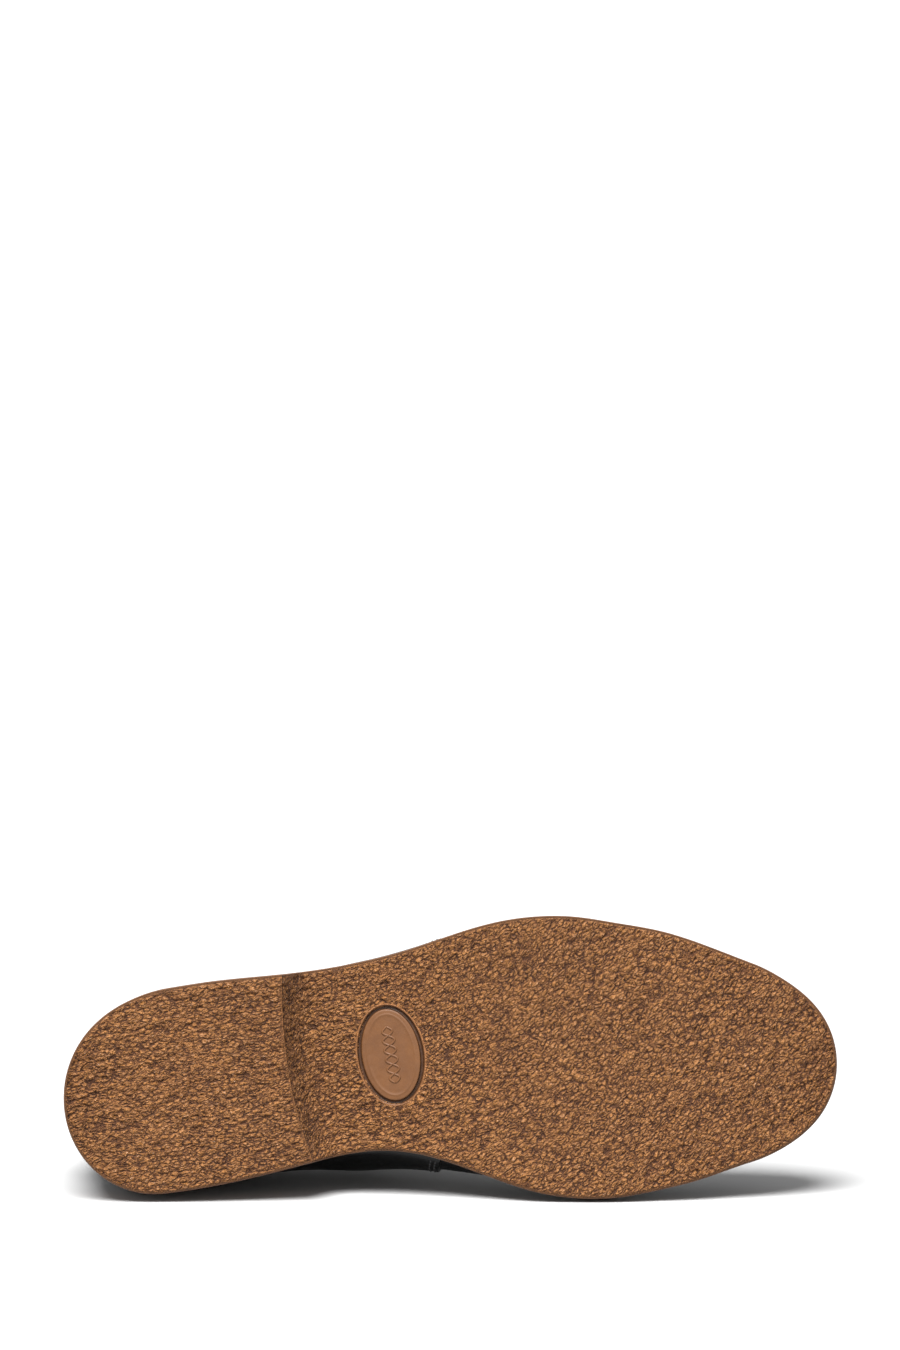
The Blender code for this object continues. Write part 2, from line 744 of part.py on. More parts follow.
TOP_RING = 0.388
INSTEP_RINGS = np.linspace(TOP_RING, SEAM_RING, 25)
INSTEP_REACH = 0.030
INSTEP_COLUMNS = 61
INSTEP = np.array([instep_section(ring, INSTEP_REACH, INSTEP_COLUMNS) for ring in INSTEP_RINGS])
INSTEP_UP = surface_normals(INSTEP)


def on_instep(ring, across, height):
    """A point over the closed instep: ring along it, across in metres of arc, medial above 0, and a height."""
    row = np.interp(ring, INSTEP_RINGS, np.arange(len(INSTEP_RINGS)))
    column = (INSTEP_REACH - across) / (2 * INSTEP_REACH) * (INSTEP_COLUMNS - 1)
    low_row, low_column = min(int(row), len(INSTEP_RINGS) - 2), min(int(column), INSTEP_COLUMNS - 2)
    u, v = row - low_row, column - low_column

    def blend(grid):
        near = grid[low_row, low_column] * (1 - v) + grid[low_row, low_column + 1] * v
        far = grid[low_row + 1, low_column] * (1 - v) + grid[low_row + 1, low_column + 1] * v
        return near * (1 - u) + far * u

    up = unit(blend(INSTEP_UP))
    return blend(INSTEP) + up * height, up


def eyelet_rings():
    """Ring of each eyelet row, the first nearest to the toe, spaced along the instep's ridge."""
    ridge = INSTEP[::-1, INSTEP_COLUMNS // 2]
    run = np.concatenate([[0], np.cumsum(np.linalg.norm(np.diff(ridge, axis=0), axis=1))])
    places = FIRST_EYELET + EYELET_PITCH * np.arange(EYELET_ROWS)
    return np.interp(places, run, INSTEP_RINGS[::-1])


EYELET_ACROSS = FACING_GAP / 2 + EYELET_INSET
EYELET_RINGS = eyelet_rings()


def axis_frame(origin, axis):
    """A matrix that puts an object's own z along an axis."""
    turn = Vector(axis).to_track_quat("Z", "Y").to_matrix().to_4x4()
    return Matrix.Translation(Vector(origin)) @ turn


def turned_solid(name, profile, count, material):
    """A ring turned about z from a closed profile of (radius, z) points."""
    vertices = []
    for step in range(count):
        angle = 2 * math.pi * step / count
        vertices += [(radius * math.cos(angle), radius * math.sin(angle), z) for radius, z in profile]
    faces = []
    size = len(profile)
    for step in range(count):
        for place in range(size):
            here, there = step * size, (step + 1) % count * size
            after = (place + 1) % size
            faces.append([here + place, there + place, there + after, here + after])
    return new_object(name, vertices, faces, material)


def eyelet_places():
    """Every eyelet's name, its centre on the facing's outer surface and its axis."""
    for row, ring in enumerate(EYELET_RINGS):
        for side, word in ((MEDIAL, "medial"), (LATERAL, "lateral")):
            centre, axis = on_instep(ring, side * EYELET_ACROSS, QUARTER_STEP)
            yield f"eyelet_{word}_{row + 1}", centre, axis


def eyelet_holes():
    """One hidden cutter with a round peg for every eyelet."""
    made = bmesh.new()
    for _, centre, axis in eyelet_places():
        bmesh.ops.create_cone(
            made,
            cap_ends=True,
            segments=16,
            radius1=EYELET_BARREL_RADIUS + FIT_GAP,
            radius2=EYELET_BARREL_RADIUS + FIT_GAP,
            depth=4 * (WALL + QUARTER_STEP),
            matrix=axis_frame(centre, axis),
        )
    mesh = bpy.data.meshes.new("eyelet_holes")
    made.to_mesh(mesh)
    made.free()
    holes = bpy.data.objects.new("eyelet_holes", mesh)
    bpy.context.scene.collection.objects.link(holes)
    return holes


def make_eyelets(material):
    """A flanged metal ring in each hole of the facings, its barrel ending inside the leather."""
    seat = FIT_GAP * 1.5
    profile = [
        (EYELET_BORE_RADIUS, seat + EYELET_FLANGE_THICKNESS * 0.7),
        (EYELET_BORE_RADIUS, -(WALL + QUARTER_STEP) * 0.8),
        (EYELET_BARREL_RADIUS, -(WALL + QUARTER_STEP) * 0.8),
        (EYELET_BARREL_RADIUS, seat),
        (EYELET_FLANGE_RADIUS, seat),
        (EYELET_FLANGE_RADIUS - 0.0003, seat + EYELET_FLANGE_THICKNESS * 0.6),
        ((EYELET_FLANGE_RADIUS + EYELET_BORE_RADIUS) / 2, seat + EYELET_FLANGE_THICKNESS),
    ]
    made = []
    for name, centre, axis in eyelet_places():
        eyelet = turned_solid(name, profile, 16, material)
        eyelet.matrix_world = axis_frame(centre, axis)
        made.append(eyelet)
    return made


def make_tongue(material):
    """The tongue, from under the vamp's throat, up below the facings and past their top."""
    across_count = 15
    depth = WALL + 2.5 * FIT_GAP
    under = SEAM_RING + 0.030
    rings = np.concatenate([np.linspace(under, SEAM_RING + 0.002, 4), np.linspace(SEAM_RING - 0.006, TOP_RING, 13)])
    sections = np.array([instep_section(ring, TONGUE_HALF_WIDTH, across_count) for ring in rings])
    ridge = sections[:, across_count // 2]
    run = np.linalg.norm(ridge - on_instep(SEAM_RING, 0, 0)[0], axis=1)
    kept = [place for place, ring in enumerate(rings) if ring <= SEAM_RING or run[place] <= TONGUE_UNDER_VAMP]
    sections = sections[kept]
    way = unit(sections[-1] - sections[-3])
    down = -surface_normals(sections)[-1]
    beyond = []
    for share, dip in ((0.35, 0.0010), (0.7, 0.0022), (1.0, 0.0036)):
        beyond.append(sections[-1] + way * TONGUE_ABOVE_FACING * share + down * dip)
    sections = np.concatenate([sections, beyond])
    middle = sections[:, across_count // 2][:, None]
    ends = np.ones(len(sections))
    ends[0] = 0.9
    ends[-6:] = 0.97, 0.92, 0.86, 0.80, 0.72, 0.58
    sections = middle + (sections - middle) * ends[:, None, None]
    up = surface_normals(sections)
    top = sections - up * depth
    bottom = top - up * TONGUE_THICKNESS
    return plate("tongue", top, bottom, material)


def plate(name, top, bottom, material):
    """A closed solid between two grids of points."""
    along, across = top.shape[:2]
    vertices = list(top.reshape(-1, 3)) + list(bottom.reshape(-1, 3))
    offset = along * across
    faces = []
    for row in range(along - 1):
        for column in range(across - 1):
            quad = [row * across + column, row * across + column + 1]
            quad += [(row + 1) * across + column + 1, (row + 1) * across + column]
            faces.append(quad)
            faces.append([offset + corner for corner in reversed(quad)])
    rim = [(0, column) for column in range(across)]
    rim += [(row, across - 1) for row in range(1, along)]
    rim += [(along - 1, column) for column in range(across - 2, -1, -1)]
    rim += [(row, 0) for row in range(along - 2, 0, -1)]
    loop = [row * across + column for row, column in rim]
    for start, end in zip(loop, loop[1:] + loop[:1]):
        faces.append([start, end, offset + end, offset + start])
    return new_object(name, vertices, faces, material)


def lace_strands():
    """Each stretch of lace over the tongue, as (row, side) at its start and end: one bar, then crossings."""
    strands = [((0, MEDIAL), (0, LATERAL))]
    for row in range(EYELET_ROWS - 1):
        strands.append(((row, MEDIAL), (row + 1, LATERAL)))
        strands.append(((row, LATERAL), (row + 1, MEDIAL)))
    return strands


def lace_tube(name, start, end, material):
    """One stretch of lace from eyelet to eyelet over the instep."""
    height = QUARTER_STEP + FIT_GAP * 3 + EYELET_FLANGE_THICKNESS + LACE_RADIUS
    places = np.linspace(0, 1, 11)
    first, last = EYELET_RINGS[start[0]], EYELET_RINGS[end[0]]
    points = []
    for place in places:
        across = (start[1] * (1 - place) + end[1] * place) * EYELET_ACROSS
        points.append(on_instep(first + (last - first) * place, across, height)[0])
    curve = bpy.data.curves.new(name, "CURVE")
    curve.dimensions = "3D"
    spline = curve.splines.new("POLY")
    spline.points.add(len(points) - 1)
    for point, place in zip(spline.points, points):
        point.co = (*place, 1)
    curve.bevel_depth = LACE_RADIUS
    curve.bevel_resolution = 2
    curve.use_fill_caps = True
    tube = bpy.data.objects.new(name, curve)
    bpy.context.scene.collection.objects.link(tube)
    bpy.context.view_layer.update()
    mesh = bpy.data.meshes.new_from_object(tube.evaluated_get(bpy.context.evaluated_depsgraph_get()))
    bpy.data.objects.remove(tube)
    made = bmesh.new()
    made.from_mesh(mesh)
    bmesh.ops.remove_doubles(made, verts=made.verts, dist=1e-6)
    bmesh.ops.recalc_face_normals(made, faces=made.faces)
    made.to_mesh(mesh)
    made.free()
    mesh.materials.clear()
    mesh.materials.append(material)
    solid = bpy.data.objects.new(name, mesh)
    bpy.context.scene.collection.objects.link(solid)
    return solid


def make_laces(material):
    """All the stretches of lace that cross the throat, joined where they meet."""
    strands = [lace_tube(f"lace_strand_{n}", *ends, material) for n, ends in enumerate(lace_strands())]
    laces = strands[0]
    laces.name = "laces"
    for strand in strands[1:]:
        strand.hide_render = True
        strand.display_type = "WIRE"
        modifier = laces.modifiers.new("join_" + strand.name, "BOOLEAN")
        modifier.operation = "UNION"
        modifier.object = strand
    return laces


def make_insole(material):
    """The sock inside the upper, resting on the midsole."""
    places = rung_places(12, 24)
    inset = max(WELT_MARGIN["medial"].max(), WELT_MARGIN["lateral"].max()) + WALL + 2 * FIT_GAP

    def bottom(x):
        return midsole_top(x) + FIT_GAP

    layers = [
        flat_layer(places, inset, bottom),
        flat_layer(places, inset, lambda x: bottom(x) + INSOLE_THICKNESS),
    ]
    return solid_from_rungs("insole", places, layers, material)


# The pose: how the shoe comes to rest on its medial side


def world_points(shown):
    """The evaluated mesh's points and triangles in world space."""
    evaluated = shown.evaluated_get(bpy.context.evaluated_depsgraph_get())
    mesh = evaluated.to_mesh()
    mesh.calc_loop_triangles()
    points = np.array([evaluated.matrix_world @ vertex.co for vertex in mesh.vertices])
    triangles = np.array([triangle.vertices[:] for triangle in mesh.loop_triangles])
    evaluated.to_mesh_clear()
    return points, triangles


def volume_and_centre(points, triangles):
    a, b, c = (points[triangles[:, corner]] for corner in range(3))
    volumes = np.einsum("ij,ij->i", a, np.cross(b, c)) / 6
    return volumes.sum(), (volumes[:, None] * (a + b + c) / 4).sum(axis=0)


def lying_matrix(pieces):
    """The placement that lays the shoe on the medial face of its hull that is under the centre of mass."""
    clouds = []
    mass, moment = 0.0, np.zeros(3)
    for shown, density in pieces:
        points, triangles = world_points(shown)
        volume, centre = volume_and_centre(points, triangles)
        mass += volume * density
        moment += centre * density
        clouds.append(points)
    centre = moment / mass
    cloud = np.vstack(clouds)
    hull = bmesh.new()
    for point in cloud:
        hull.verts.new(point)
    bmesh.ops.convex_hull(hull, input=hull.verts, use_existing_faces=False)
    hull.normal_update()
    best = None
    for face in hull.faces:
        normal = np.array(face.normal)
        corners = np.array([corner.co for corner in face.verts])
        if normal @ (corners[0] - centre) < 0:
            normal = -normal
        if normal[1] < 0.8:
            continue
        foot = centre + normal * (normal @ (corners[0] - centre))
        sides = [np.cross(b - a, foot - a) @ normal for a, b in zip(corners, np.roll(corners, -1, axis=0))]
        if min(sides) >= 0 or max(sides) <= 0:
            best = normal
    hull.free()
    down = unit(best)
    ahead = unit(np.array([1.0, 0, 0]) - down[0] * down)
    across = np.cross(-down, ahead)
    turn = np.array([ahead, across, -down])
    laid = cloud @ turn.T
    low, high = laid.min(axis=0), laid.max(axis=0)
    move = -np.array([(low[0] + high[0]) / 2, (low[1] + high[1]) / 2, low[2]])
    matrix = Matrix.Identity(4)
    for row in range(3):
        matrix[row][:3] = turn[row]
        matrix[row][3] = move[row]
    return matrix


def main():
    for old in list(bpy.data.objects):
        bpy.data.objects.remove(old)
    rubber = principled("crepe_rubber", (0.26, 0.125, 0.055), 0.5)
    welt_rubber = principled("welt_rubber", (0.17, 0.08, 0.035), 0.55)
    leather = principled("black_leather", (0.012, 0.011, 0.011), 0.42)
    lining = principled("lining_leather", (0.36, 0.22, 0.12), 0.6)
    cord = principled("black_lace", (0.015, 0.015, 0.015), 0.7)
    metal = principled("black_metal", (0.05, 0.05, 0.055), 0.3, 1.0)

    pieces = [
        (make_outsole(rubber), RUBBER_DENSITY),
        (make_midsole(welt_rubber), RUBBER_DENSITY),
        (make_insole(lining), LEATHER_DENSITY),
        (make_upper(leather), LEATHER_DENSITY),
        (make_tongue(leather), LEATHER_DENSITY),
        (make_laces(cord), LEATHER_DENSITY),
    ]
    pieces += [(eyelet, METAL_DENSITY) for eyelet in make_eyelets(metal)]
    bpy.context.view_layer.update()
    pose = bpy.data.objects.new("lying_pose", None)
    bpy.context.scene.collection.objects.link(pose)
    matrix = lying_matrix(pieces)
    for shown in list(bpy.context.scene.collection.objects):
        if shown is not pose:
            shown.parent = pose
    pose.matrix_world = matrix


main()
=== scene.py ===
"""Right lace-up shoe lying on its medial side: the looks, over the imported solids.

Every piece is modelled as the shoe stands: x from heel to toe, y medial, z up, and z = 0 on the plane of the
treads. It is then laid down with the shoe, whose place is read from the record's two treads.
"""

import json
import math

import bmesh
import bpy
import numpy as np
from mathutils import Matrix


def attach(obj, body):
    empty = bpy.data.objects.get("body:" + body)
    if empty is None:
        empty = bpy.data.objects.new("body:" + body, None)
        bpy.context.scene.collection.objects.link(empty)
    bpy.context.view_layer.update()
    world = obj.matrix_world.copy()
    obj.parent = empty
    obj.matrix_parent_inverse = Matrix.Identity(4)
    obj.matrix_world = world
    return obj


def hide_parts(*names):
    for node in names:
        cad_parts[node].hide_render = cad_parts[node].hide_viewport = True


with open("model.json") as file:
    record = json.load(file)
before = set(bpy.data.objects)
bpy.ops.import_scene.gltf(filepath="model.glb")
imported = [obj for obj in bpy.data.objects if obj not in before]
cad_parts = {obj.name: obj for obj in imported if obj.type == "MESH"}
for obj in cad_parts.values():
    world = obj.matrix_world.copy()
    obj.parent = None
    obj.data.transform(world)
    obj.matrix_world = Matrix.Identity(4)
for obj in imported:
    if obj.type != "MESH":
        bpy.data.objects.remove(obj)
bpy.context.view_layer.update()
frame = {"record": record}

# Driving dimensions, in metres
SOLE_LENGTH = 0.300
BALL_WIDTH = 0.109
HEEL_LIFT = 0.0170
TOE_SPRING = 0.0125
OUTSOLE_THICKNESS = 0.0085
MIDSOLE_THICKNESS = 0.0032
UPPER_HEIGHT = 0.0800
FIT_GAP = 0.0003

# Sole: rounded ends, the heel's front face, the tread's rim and the oval medallion under the waist
HEEL_END_DEPTH = 0.040
TOE_END_DEPTH = 0.033
BREAST_AT = 0.0837
BREAST_SWEEP = 0.0128
BREAST_DEPTH = 0.0130
BREAST_CURVE = 2.2
TREAD_RIM_INSET = 0.0009
TREAD_RIM_HEIGHT = 0.0010
OUTSOLE_TOP_INSET = 0.0005
MEDALLION_AT = 0.1267
MEDALLION_SIDE = 0.0
MEDALLION_HALF_WIDTH = 0.0129
MEDALLION_HALF_LENGTH = 0.0195
MEDALLION_TURN = 10.0

# Upper: wall, overlays, the gap that the laces close, eyelets and laces
WALL = 0.0022
QUARTER_STEP = 0.0013
BACKSTRAP_STEP = 0.0010
FACING_GAP = 0.0170
SEAM_RING = 0.490
BACKSTRAP_RING = 0.043
EYELET_ROWS = 4
EYELET_INSET = 0.0095
EYELET_PITCH = 0.0155
FIRST_EYELET = 0.0090
EYELET_FLANGE_RADIUS = 0.0037
EYELET_BARREL_RADIUS = 0.0026
EYELET_BORE_RADIUS = 0.0020
EYELET_FLANGE_THICKNESS = 0.0007
TONGUE_THICKNESS = 0.0028
TONGUE_HALF_WIDTH = 0.0250
TONGUE_ABOVE_FACING = 0.0130
INSOLE_THICKNESS = 0.0030

MEDIAL, LATERAL = 1.0, -1.0
SIDES = (MEDIAL, LATERAL)
LEAN = {MEDIAL: "lean_medial", LATERAL: "lean_lateral"}
UP = np.array([0, 0, 1.0])


def table(columns, *rows):
    """A table of sections as {column name: array}."""
    return dict(zip(columns.split(), np.array(rows, float).T))


# The sole seen from below. Station is a share of SOLE_LENGTH; centre and half width are shares of BALL_WIDTH
SOLE_OUTLINE = table(
    "station centre half_width",
    (0.000, 0.163, 0.368),
    (0.090, 0.152, 0.363),
    (0.180, 0.116, 0.366),
    (0.280, 0.068, 0.350),
    (0.340, 0.034, 0.340),
    (0.390, 0.006, 0.341),
    (0.440, -0.014, 0.359),
    (0.500, -0.025, 0.406),
    (0.560, -0.021, 0.459),
    (0.615, -0.009, 0.492),
    (0.660, 0.000, 0.500),
    (0.710, 0.009, 0.490),
    (0.770, 0.008, 0.461),
    (0.825, 0.011, 0.418),
    (0.885, 0.012, 0.358),
    (0.925, 0.015, 0.326),
    (0.960, 0.016, 0.312),
    (1.000, 0.016, 0.310),
)

# The sole from the side. Lift is a share of HEEL_LIFT, spring of TOE_SPRING, thickness of OUTSOLE_THICKNESS
SOLE_PROFILE = table(
    "station lift spring thickness",
    (0.00, 1.02, 0.00, 1.00),
    (0.15, 1.00, 0.00, 1.00),
    (0.28, 0.98, 0.00, 0.98),
    (0.36, 0.88, 0.00, 0.93),
    (0.44, 0.66, 0.00, 0.90),
    (0.52, 0.34, 0.00, 0.93),
    (0.59, 0.08, 0.00, 0.98),
    (0.65, -0.02, -0.02, 1.00),
    (0.71, 0.00, 0.00, 1.00),
    (0.80, 0.00, 0.17, 0.98),
    (0.90, 0.00, 0.52, 0.95),
    (1.00, 0.00, 1.00, 0.92),
)

# How far the upper's edge lies inside the sole's, in metres. Ring runs along the sole's edge from heel to toe
WELT_MARGIN = table(
    "ring medial lateral",
    (0.00, 0.0038, 0.0038),
    (0.20, 0.0042, 0.0038),
    (0.34, 0.0020, 0.0026),
    (0.45, 0.0010, 0.0020),
    (0.55, 0.0026, 0.0036),
    (0.66, 0.0056, 0.0050),
    (0.80, 0.0052, 0.0050),
    (1.00, 0.0050, 0.0050),
)

# Ribs of the quarters, from the sole up to the collar and the facing. Top at is a share of SOLE_LENGTH, top
# centre and half width of BALL_WIDTH, and top height of UPPER_HEIGHT above the seat. Leans are degrees from
# upright, and pulls are shares of the rib's length
QUARTER_RIBS = table(
    "ring top_at top_centre top_half top_height lean_medial lean_lateral lean_top pull_foot pull_top",
    (0.000, 0.028, 0.146, 0.000, 0.765, 15, 15, 10, 0.36, 0.36),
    (0.060, 0.037, 0.146, 0.112, 0.755, 14, 14, 9, 0.36, 0.36),
    (0.130, 0.080, 0.143, 0.226, 0.722, 7, 13, 5, 0.34, 0.35),
    (0.215, 0.170, 0.132, 0.276, 0.672, 5, 11, 3, 0.33, 0.34),
    (0.290, 0.262, 0.106, 0.252, 0.690, 13, 13, 14, 0.36, 0.36),
    (0.345, 0.335, 0.082, 0.190, 0.850, 22, 8, 30, 0.37, 0.38),
    (0.375, 0.372, 0.070, 0.110, 0.985, 26, 6, 52, 0.38, 0.40),
    (0.400, 0.410, 0.060, 0.084, 0.975, 30, 6, 64, 0.38, 0.40),
    (0.445, 0.480, 0.046, 0.079, 0.850, 37, 9, 69, 0.39, 0.38),
)

# Ribs of the vamp, from the sole up to the ridge line, in like columns with the ridge as the top
VAMP_RIBS = table(
    "ring top_at top_centre top_height lean_medial lean_lateral pull_foot pull_top",
    (0.490, 0.562, 0.036, 0.735, 42, 15, 0.38, 0.44),
    (0.560, 0.632, 0.031, 0.640, 24, 12, 0.33, 0.46),
    (0.640, 0.705, 0.028, 0.560, 9, 8, 0.32, 0.48),
    (0.730, 0.780, 0.026, 0.490, 5, 6, 0.34, 0.50),
    (0.820, 0.848, 0.025, 0.425, 5, 6, 0.37, 0.50),
    (0.900, 0.893, 0.026, 0.375, 6, 6, 0.40, 0.50),
    (0.960, 0.914, 0.027, 0.345, 7, 7, 0.42, 0.50),
    (1.000, 0.920, 0.027, 0.335, 7, 7, 0.43, 0.50),
)


def natural_spline(knots, values):
    """A smooth curve through numbers or points at rising knots, as a function of place."""
    knots = np.asarray(knots, float)
    values = np.asarray(values, float)
    flat = values.ndim == 1
    values = values.reshape(len(knots), -1)
    gaps = np.diff(knots)
    slopes = np.diff(values, axis=0) / gaps[:, None]
    system = np.eye(len(knots))
    bends = np.zeros_like(values)
    for row in range(1, len(knots) - 1):
        system[row, row - 1 : row + 2] = gaps[row - 1], 2 * (gaps[row - 1] + gaps[row]), gaps[row]
        bends[row] = 6 * (slopes[row] - slopes[row - 1])
    bends = np.linalg.solve(system, bends)

    def at(place):
        place = np.clip(np.asarray(place, float), knots[0], knots[-1])
        row = np.clip(np.searchsorted(knots, place) - 1, 0, len(gaps) - 1)
        gap = gaps[row][..., None]
        after = (place - knots[row])[..., None]
        before = gap - after
        found = (bends[row] * before**3 + bends[row + 1] * after**3) / (6 * gap)
        found = found + (values[row] / gap - bends[row] * gap / 6) * before
        found = found + (values[row + 1] / gap - bends[row + 1] * gap / 6) * after
        return found[..., 0] if flat else found

    return at


def unit(vectors):
    """Vectors scaled to length 1."""
    vectors = np.asarray(vectors, float)
    return vectors / np.linalg.norm(vectors, axis=-1, keepdims=True)


def smooth_step(low, high, place):
    """0 below low, 1 above high and a smooth rise between them."""
    share = np.clip((np.asarray(place, float) - low) / (high - low), 0, 1)
    return share * share * (3 - 2 * share)


def curve_of(rows, name):
    """The smooth curve of a table's column over its first column."""
    return natural_spline(next(iter(rows.values())), rows[name])


def run_along(points):
    """The distance along a line of points, from its start."""
    return np.concatenate([[0], np.cumsum(np.linalg.norm(np.diff(points, axis=0), axis=1))])


def read_off(place, places, points):
    """Points read off between the given ones, at one place or several."""
    return np.stack([np.interp(place, places, column) for column in np.asarray(points).T], axis=-1)


# Sole outline

outline_centre = curve_of(SOLE_OUTLINE, "centre")
outline_half = curve_of(SOLE_OUTLINE, "half_width")


def centre_line(x):
    """The middle of the sole's width at a distance from the heel."""
    return outline_centre(np.asarray(x) / SOLE_LENGTH) * BALL_WIDTH


def end_rounding(x):
    """The share of the width that is left in the heel's and the toe's round ends."""
    x = np.asarray(x, float)
    heel = np.clip(1 - x / HEEL_END_DEPTH, 0, 1)
    toe = np.clip(1 - (SOLE_LENGTH - x) / TOE_END_DEPTH, 0, 1)
    return np.sqrt(np.clip(1 - heel**2, 0, 1)) * np.sqrt(np.clip(1 - toe**2, 0, 1))


def sole_side(side, count=1500):
    """One side of the outline from heel to toe: points, outward normals and ring, the share of its length."""
    x = SOLE_LENGTH * (1 - np.cos(np.linspace(0, math.pi, count))) / 2
    half = outline_half(x / SOLE_LENGTH) * BALL_WIDTH * end_rounding(x)
    points = np.stack([x, centre_line(x) + side * half], axis=1)
    along = unit(np.gradient(points, axis=0))
    normals = np.stack([-along[:, 1], along[:, 0]], axis=1) * side
    normals[0], normals[-1] = (-1, 0), (1, 0)
    run = run_along(points)
    return points, normals, run / run[-1]


SOLE_SIDES = {side: sole_side(side) for side in SIDES}


def edge_at_ring(side, ring, inset):
    """The point of the sole's edge at a ring share, moved inwards by inset, and the outward normal there."""
    points, normals, rings = SOLE_SIDES[side]
    normal = unit(read_off(ring, rings, normals))
    return read_off(ring, rings, points) - normal * inset, normal


def edge_at_x(side, x, inset):
    """The y of the sole's edge, moved inwards by inset, at a distance from the heel."""
    points, normals, _ = SOLE_SIDES[side]
    moved = points - normals * inset
    return np.interp(x, moved[:, 0], moved[:, 1])


# Heights of the sole's layers

profile_lift = curve_of(SOLE_PROFILE, "lift")
profile_spring = curve_of(SOLE_PROFILE, "spring")
profile_thickness = curve_of(SOLE_PROFILE, "thickness")


def slab_rise(x):
    """The height of the slab's underside over the ground, without the heel."""
    station = np.asarray(x) / SOLE_LENGTH
    return profile_lift(station) * HEEL_LIFT + profile_spring(station) * TOE_SPRING


def slab_underside(x):
    """The underside of the sole without its heel; where it would pass the ground it is cut off flat."""
    return np.maximum(slab_rise(x), 0)


def outsole_top(x):
    return slab_rise(x) + profile_thickness(np.asarray(x) / SOLE_LENGTH) * OUTSOLE_THICKNESS


def midsole_underside(x):
    return outsole_top(x) + FIT_GAP


def midsole_top(x):
    return midsole_underside(x) + MIDSOLE_THICKNESS


# Rungs cross the sole from its lateral to its medial edge. Near the heel's front they bow as its edge does

SWEEP_END = 0.62 * SOLE_LENGTH
ON_EDGE = 1e-9


def rung_sweep(x):
    """How much of the heel's bowed front edge a rung follows."""
    rise = np.clip(np.asarray(x) / BREAST_AT, 0, 1) ** 2
    return rise * (1 - smooth_step(BREAST_AT + BREAST_DEPTH, SWEEP_END, x))


def rung_points(places, shares, inset):
    """Points on every rung at shares of its width from the lateral edge, on an outline moved in by inset."""
    scale = (SOLE_LENGTH - 2 * inset) / SOLE_LENGTH
    shares = np.asarray(shares, float)
    lateral_x = inset + places * scale
    sweep = BREAST_SWEEP * rung_sweep(places)
    medial_x = inset + (places + sweep) * scale
    low = edge_at_x(LATERAL, lateral_x, inset)
    high = edge_at_x(MEDIAL, medial_x, inset)
    x = lateral_x[:, None] + (medial_x - lateral_x)[:, None] * shares**BREAST_CURVE
    y = low[:, None] + (high - low)[:, None] * shares
    return x, y


def heel_edge(shares):
    """Where the heel's front edge runs, at shares of the width from the lateral edge."""
    return BREAST_AT + BREAST_SWEEP * np.asarray(shares) ** BREAST_CURVE


def tread_height(x, shares, places):
    """The tread: flat under the heel, then the heel's hollow front face, then the underside of the slab."""
    past = np.clip((x - heel_edge(shares)) / BREAST_DEPTH, 0, 1)
    on_heel = places[:, None] <= BREAST_AT + ON_EDGE
    return np.where(on_heel, 0.0, slab_underside(x) * (1 - (1 - past) ** 2))


# Upper: every rib is a cubic curve with four control points, from the sole's edge to collar, facing or ridge

margin_curves = {MEDIAL: curve_of(WELT_MARGIN, "medial"), LATERAL: curve_of(WELT_MARGIN, "lateral")}


def foot_of_rib(side, ring):
    """Where a rib starts on the midsole, and the outward direction there."""
    (x, y), normal = edge_at_ring(side, ring, margin_curves[side](ring))
    return np.array([x, y, midsole_top(x) + FIT_GAP]), np.array([normal[0], normal[1], 0])


def rib_controls(side, ribs, row, top, top_way):
    """The control points of a table's rib, as the three that follow its foot."""
    foot, outward = foot_of_rib(side, ribs["ring"][row])
    chord = np.linalg.norm(top - foot)
    lean = math.radians(ribs[LEAN[side]][row])
    second = foot + chord * ribs["pull_foot"][row] * (math.cos(lean) * UP + math.sin(lean) * outward)
    return np.array([second, top + chord * ribs["pull_top"][row] * top_way, top])


def seat_height(x):
    return midsole_top(np.clip(x, 0, SOLE_LENGTH))


def ridge_point(row):
    x = VAMP_RIBS["top_at"][row] * SOLE_LENGTH
    height = seat_height(x) + VAMP_RIBS["top_height"][row] * UPPER_HEIGHT
    return np.array([x, VAMP_RIBS["top_centre"][row] * BALL_WIDTH, float(height)])


def vamp_controls(side):
    """A curve of control points for the vamp's ribs on one side."""
    rings = VAMP_RIBS["ring"]
    ridge = np.array([ridge_point(row) for row in range(len(rings))])
    ridge_slope = np.gradient(ridge[:, 2]) / np.gradient(ridge[:, 0])
    rows = []
    for row, ring in enumerate(rings):
        foot, _ = foot_of_rib(side, ring)
        ahead = foot[:2] - ridge[row][:2]
        way = unit([ahead[0], ahead[1], ahead[0] * ridge_slope[row]])
        rows.append(rib_controls(side, VAMP_RIBS, row, ridge[row], way))
    return natural_spline(rings, np.array(rows).reshape(len(rows), 9))


def split_curve(points, share):
    """The control points of a cubic curve's first stretch."""
    first = [a + (b - a) * share for a, b in zip(points, points[1:])]
    second = [a + (b - a) * share for a, b in zip(first, first[1:])]
    third = second[0] + (second[1] - second[0]) * share
    return np.array([points[0], first[0], second[0], third])


def curve_at(points, shares):
    """Points on a cubic curve."""
    t = np.asarray(shares, float)[:, None]
    first, second, third, last = points
    return (1 - t) ** 3 * first + 3 * (1 - t) ** 2 * t * second + 3 * (1 - t) * t**2 * third + t**3 * last


def share_at_length(points, length, from_top):
    """The share of a cubic curve that lies a given length from its foot or its top."""
    shares = np.linspace(0, 1, 241)
    run = run_along(curve_at(points, shares))
    return float(np.interp(run[-1] - length if from_top else length, run, shares))


VAMP = {side: vamp_controls(side) for side in SIDES}


def vamp_rib(side, ring):
    foot, _ = foot_of_rib(side, ring)
    return np.vstack([foot, VAMP[side](ring).reshape(3, 3)])


